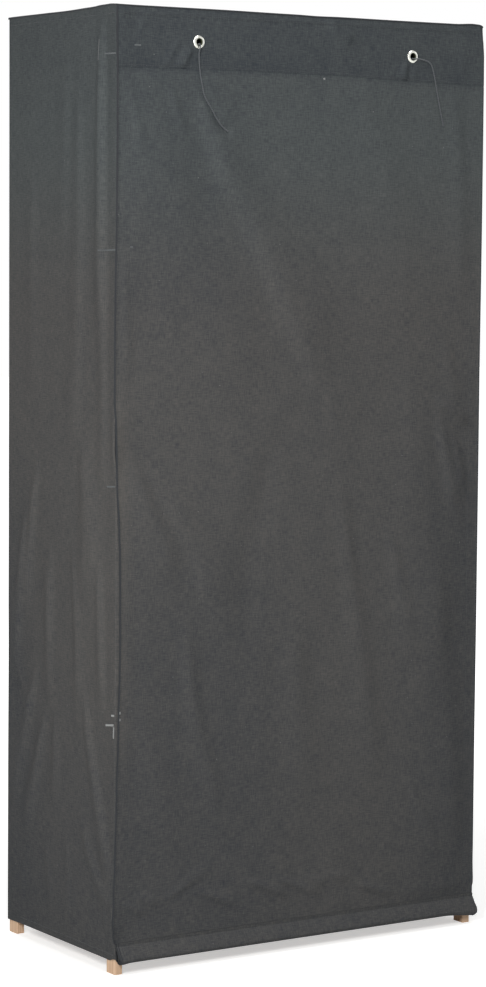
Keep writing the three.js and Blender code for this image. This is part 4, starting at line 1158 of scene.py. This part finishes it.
def hemOutline():
    # the sleeve's outer line from the back top, round under the rod, to the front top
    r, cy, cz = hem["radius"], hem["middleY"], hem["bottom"] + hem["radius"]
    line = [(hem["backY"], z) for z in np.linspace(hem["top"], cz, 9)]
    for angle in np.radians(np.arange(-12, -190, -12)):
        line.append((cy + r * math.cos(angle), cz + r * math.sin(angle)))
    (startY, startZ), stop = line[-1], hem["top"] - hem["seamRise"]
    for t in np.linspace(0, 1, 9)[1:]:
        line.append((startY * (1 - t) + (hem["sewnY"] - 0.05) * t - hem["slackFront"] * math.sin(t * math.pi),
                     startZ * (1 - t) + stop * t))
    line += [(hem["sewnY"], z) for z in np.linspace(stop, hem["top"], 4)[1:]]
    return np.array(line)


def makeHem():
    outline = hemOutline()
    outY, outZ = outline.T
    middleY, middleZ = hem["middleY"], hem["bottom"] + hem["radius"]
    left, right = hem["left"], hem["right"]
    rimIn, rimOut = np.array(hem["rim"]).T
    even = np.linspace(left + hem["rimReach"], right - hem["rimReach"], hem["columns"])
    across = np.concatenate([left + rimIn[::-1], even, right - rimIn])
    fromEnd = np.minimum(across - left, right - across)
    rim = np.interp(fromEnd, rimIn[::-1], rimOut[::-1])[:, None] / hem["radius"]
    x, share = np.meshgrid(across, np.linspace(0, 1, len(outline)), indexing="ij")
    low = np.clip(1 - (outZ - hem["bottom"]) / (hem["top"] - hem["seamRise"] - hem["bottom"]), 0, 1)
    ends = sum(amount * np.exp(-((x - hem[end]) / reach) ** 2) for amount, end, reach in hem["fuller"])
    swell = 1 + (ends + ripples(hem["ripples"], x, share * 40) + rim) * smooth(low, 0.5)
    y = middleY + (outY - middleY) * swell
    z = np.maximum(middleZ + (outZ - middleZ) * swell, hem["bottom"] + hem["lowest"])
    z = z - hem["droop"] * ramp(x, hem["droopFrom"], right) * smooth(low, 1)
    z = z - hem["leftDroop"] * ramp(x, *hem["leftDroopFrom"]) * smooth(low, 1)
    onStitches, onGroove = (np.exp(-((outZ - level) / wide) ** 2)
                            for level, wide in (hem["puckerAt"], hem["grooveAt"]))
    front = (outY < hem["sewnY"] + 0.5) & (outZ > hem["frontAbove"])
    y = y - np.maximum(ripples(hem["pucker"], x, share * 0) * onStitches, hem["deepest"]) * front
    y = np.minimum(y + hem["groove"] * onGroove * front, hem["nearest"])
    lean = tableAt(hem["rightLean"], low) * ramp(x, *hem["rightEndFrom"])
    lean = lean + hem["leftSlant"] * smooth(low, 1) * ramp(x, *hem["leftEndFrom"])
    points = np.stack([x + lean, y, z], axis=-1)
    around = np.concatenate([[0], np.cumsum(np.linalg.norm(np.diff(outline, axis=0), axis=1))])
    flat = np.stack([x + 400, np.broadcast_to(around, x.shape)], axis=-1)
    middles = (fromEnd[1:] + fromEnd[:-1]) / 2
    bound = sum((middles > near) & (middles < far) for near, far in hem["rimBound"])
    piece = sheetObject("hem_sleeve_cloth", points, flat, panels["wall"], fadeAndShadeAt(hem["fadeAndShade"], low=low),
                        bound=bound[:, None])
    sewn(piece, "hem_sleeve", (0.794, 0.095), "folded", ["hem_rod"], body="hem")


makeHem()
print("hem ready")


# Stitches: rows of lockstitch along the seams, and bar tacks where ties inside are sewn on

sewing = {
    "length": 3.1,
    "pitch": 4.3,
    "thick": 0.6,
    "sink": 0.4,  # how far a stitch's ends dip into the cloth
    "tip": 0.45, "taper": 0.6,  # how long and how thick the ends are, as shares of the thickness
    "tackPitch": 1.0,
    "tackThick": 1.0,
    "hemRise": 12,
    "headerRise": 4,
    "topDrop": 12,
    "bindingIn": 2.6,
    "tapeIn": 371,
    "ends": (386, 388),  # where the rows across the front stop, left and right of the middle
    "coverFrom": 68, "coverTo": 1584, "sideReach": 192,
    "bindingLift": 0.25, "tackLift": {"side": 0.15, "cover": 0.35, "header": 0.15},
}


def modelStitch(name, length, thick):
    # a short bar along Z whose two ends narrow and dip towards +Y
    bpy.ops.object.select_all(action="DESELECT")
    bpy.ops.mesh.primitive_cylinder_add(vertices=6, radius=thick / 2 * mm, depth=length * mm,
                                        location=(0, 0, 0), calc_uvs=False)
    piece = bpy.context.active_object
    piece.name = name
    for end in (-1, 1):
        bpy.ops.object.mode_set(mode="EDIT")
        bpy.ops.mesh.select_all(action="DESELECT")
        bpy.ops.object.mode_set(mode="OBJECT")
        for face in piece.data.polygons:
            face.select = face.normal.z * end > 0.9
        bpy.ops.object.mode_set(mode="EDIT")
        bpy.ops.mesh.select_mode(type="FACE")
        bpy.ops.mesh.extrude_region_move(
            TRANSFORM_OT_translate={"value": (0, sewing["sink"] * mm, end * thick * sewing["tip"] * mm)})
        bpy.ops.transform.resize(value=(sewing["taper"], sewing["taper"], 1))
    bpy.ops.object.mode_set(mode="OBJECT")
    bpy.ops.object.shade_smooth_by_angle(angle=math.radians(50))
    return piece


def sewRow(name, places, model, material=stitchMaterial, rolls=False, body="wardrobe"):
    # copies of one stitch, each at a point, along a direction and facing outwards, joined into one row
    copies = []
    for point, along, outwards in places:
        z = Vector(along).normalized()
        x = (-Vector(outwards).normalized()).cross(z).normalized()
        turned = Matrix((x, z.cross(x), z)).transposed().to_4x4()
        data = model.data.copy()
        data.transform(Matrix.Translation(Vector(place(point))) @ turned)
        copies.append(addObject(name, data))
    alone(copies[0])
    for copy in copies:
        copy.select_set(True)
    bpy.ops.object.join()
    piece = copies[0]
    piece.data.materials.clear()
    piece.data.materials.append(material)
    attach(piece, body)
    if rolls:
        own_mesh(piece)


def alongLine(point, start, end, outwards):
    # places from start to end of a seam, whose point() gives where the cloth lies
    count = max(2, round(abs(end - start) / sewing["pitch"]))
    here = np.array([point(value) for value in np.linspace(start, end, count)])
    return [(spot, way, outwards) for spot, way in zip(here, np.gradient(here, axis=0))]


def outAt(surface, a, b):
    return float(surface(np.array([float(a)]), np.array([float(b)]))[0])


def outermost(side):
    return lambda y, z: sideX(side, y, z)


stitch = modelStitch("stitch", sewing["length"], sewing["thick"])
front, rearwards, outer = (0, -1, 0), (0, 1, 0), {-1: (-1, 0, 0), 1: (1, 0, 0)}
topRow, hemRow = panels["top"] - sewing["topDrop"], panels["hem"] + sewing["hemRise"]
left, right = sewing["ends"]


def headerRow(x):
    return float(tableAt(panels["seam"], float(x))) + sewing["headerRise"]


for name, surface, level, end, outwards in (
        ("header_edge", headerY, headerRow, right, front), ("top_front", headerY, topRow, right, front),
        ("top_back", rearY, topRow, left, rearwards), ("back_hem", rearY, hemRow, left, rearwards)):
    def across(x):
        z = level(x) if callable(level) else level
        return (x, outAt(surface, x, z), z)
    sewRow(name + "_stitches", alongLine(across, -left, end, outwards), stitch)
for sideName, side in (("left", -1), ("right", 1)):
    for part, level in (("top", topRow), ("hem", hemRow)):
        sewRow(f"{sideName}_{part}_stitches", alongLine(
            lambda y: (side * outAt(outermost(side), y, level), y, level),
            -sewing["sideReach"], sewing["sideReach"], outer[side]), stitch)
    for part, lift in (("binding", sewing["bindingLift"]), ("tape", 0)):
        def onCover(z):
            edge = float(tableAt(cover[sideName + "Edge"], z)) - side * sewing["bindingIn"]
            x = edge if part == "binding" else side * sewing["tapeIn"]
            return (x, outAt(coverY, x, z) - lift, z)
        sewRow(f"{sideName}_{part}_stitches", alongLine(onCover, sewing["coverFrom"], sewing["coverTo"], front),
               stitch, rolls=True)
hemLine = hem["top"] - hem["seamRise"]
sewRow("hem_stitches", alongLine(lambda x: (x, -199.8, hemLine), -left, left, front), stitch, body="hem")

# bar tacks: their width and where they lie, as two ends (y and z on the left side, x and z on the front)
tacks = {
    "side_bright": (3.0, [((-163, 443.5), (-194.5, 448)), ((-195.4, 444), (-194.6, 425)),
                          ((-186, 464), (-196.5, 465))]),
    "side_faint": (1.8, [((-149, 1280), (-197, 1281)), ((-168, 867), (-197, 869)), ((-142, 1645), (-142, 1610)),
                         ((-157, 1620), (-197, 1619))]),
    "cover_bright": (2.6, [((-389.5, 468.5), (-389.5, 471.5)), ((-389.5, 456.5), (-389.5, 459.5)),
                           ((34, 1589.5), (36.5, 1590.5))]),
    "cover_faint": (2.0, [((-372, 1286), (-368, 1286))]),
    "header_faint": (2.4, [((-363, 1634), (-351, 1634))]),
}

for name, (width, lines) in tacks.items():
    part = name.split("_")[0]
    onSide, lift = part == "side", sewing["tackLift"][part]
    surface = {"side": outermost(-1), "cover": coverY, "header": headerY}[part]
    places = []
    for (a0, b0), (a1, b1) in lines:
        long = math.hypot(a1 - a0, b1 - b0)
        aside, up = (b0 - b1) / long, (a1 - a0) / long  # the stitches lie across the line
        for t in np.linspace(0, 1, max(3, round(long / sewing["tackPitch"]))):
            a, b = a0 + (a1 - a0) * t, b0 + (b1 - b0) * t
            out = outAt(surface, a, b)
            if onSide:
                places.append(((-out - lift, a, b), (0, aside, up), outer[-1]))
            else:
                places.append(((a, out - lift, b), (aside, 0, up), front))
    model = modelStitch("tack_stitch", width, sewing["tackThick"])
    sewRow(name + "_tacks", places, model, tackMaterial if "bright" in name else faintMaterial,
           rolls=part == "cover")
    bpy.data.objects.remove(model)
bpy.data.objects.remove(stitch)
print("stitches ready")


# Finishes of the pieces that keep their own shape

finishes = [(("_post",), pineUp), (("_rung",), pineDeep), (("_rail", "_slat_", "hem_rod"), pineAcross),
            (("_screw",), zinc)]
for sideName, middle in zip(("left", "right"), header["eyelets"]):
    nickel = platedMetal("nickelled_brass_" + sideName, metals["nickelled_brass"], middle)
    finishes.append(((sideName + "_eyelet",), nickel))
for name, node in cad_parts.items():
    for words, material in finishes:
        if any(word in name for word in words) and not node.hide_render:
            node.data.materials.clear()
            node.data.materials.append(material)
            break
print("finishes ready")


# Studio: soft lamps and a pale floor

studio = {
    "ambient": 0.16,
    "aim": 0.85,  # height in metres that the lamps point at
    "lamps": {
        "key": {"place": (-2750, -2350, 2000), "size": 0.9, "power": 118},
        "over": {"place": (-200, -1500, 4200), "size": 1.8, "power": 52},
        "fill": {"place": (3200, -1800, 2400), "size": 2.6, "power": 20},
        "back": {"place": (600, 3600, 2600), "size": 2.6, "power": 70},
    },
    "floor": "#e9e9e7",
    "nearGlow": 0.5,  # the floor's brightness to the camera beside the object
    "farGlow": 1.0,  # and far from it, so that it meets the backdrop
    "glowFrom": 0.9,  # metres
    "glowTo": 3.0,
}

world = bpy.data.worlds.new("studio")
bpy.context.scene.world = world
world.use_nodes = True
tree = world.node_tree
tree.nodes.clear()


def directRays(tree):
    # 1 for what the camera sees, also in metal and glass
    seen = addNode(tree, "LightPath")
    rays = seen.node.outputs
    for kind in ("Is Glossy Ray", "Is Transmission Ray"):
        seen = addNode(tree, "Math", {0: seen, 1: rays[kind]}, operation="MAXIMUM")
    return seen


ambient, white = (addNode(tree, "Background", {"Color": (1, 1, 1, 1), "Strength": strength})
                  for strength in (studio["ambient"], 1))
mixedWorld = addNode(tree, "MixShader", {0: directRays(tree), 1: ambient, 2: white})
addNode(tree, "OutputWorld", {"Surface": mixedWorld})

for name, lamp in studio["lamps"].items():
    data = bpy.data.lights.new(name, "AREA")
    data.size = lamp["size"]
    data.energy = lamp["power"]
    light = addObject(name, data)
    light.location = place(lamp["place"])
    light.rotation_mode = "QUATERNION"
    light.rotation_quaternion = (Vector((0, 0, studio["aim"])) - light.location).to_track_quat("-Z", "Y")

bpy.ops.object.select_all(action="DESELECT")
bpy.ops.mesh.primitive_plane_add(size=40, location=(0, 0, 0))
floor = bpy.context.active_object
floor.name = "studio_floor"
floorMaterial, tree = newMaterial("painted_floor")
away = addNode(tree, "VectorMath", {0: objectSpace(tree)}, "Value", operation="LENGTH")
strength = ranged(tree, away, studio["glowFrom"], studio["glowTo"], (studio["nearGlow"], studio["farGlow"]))
direct = addNode(tree, "Math", {0: directRays(tree), 1: strength}, operation="MULTIPLY")
paint = addNode(tree, "BsdfDiffuse", {"Color": fromHex(studio["floor"])})
glow = addNode(tree, "Emission", {"Color": (1, 1, 1, 1), "Strength": direct})
addNode(tree, "OutputMaterial", {"Surface": addNode(tree, "AddShader", {0: paint, 1: glow})})
floor.data.materials.append(floorMaterial)
bpy.context.scene.view_settings.view_transform = "Standard"
print("studio ready")
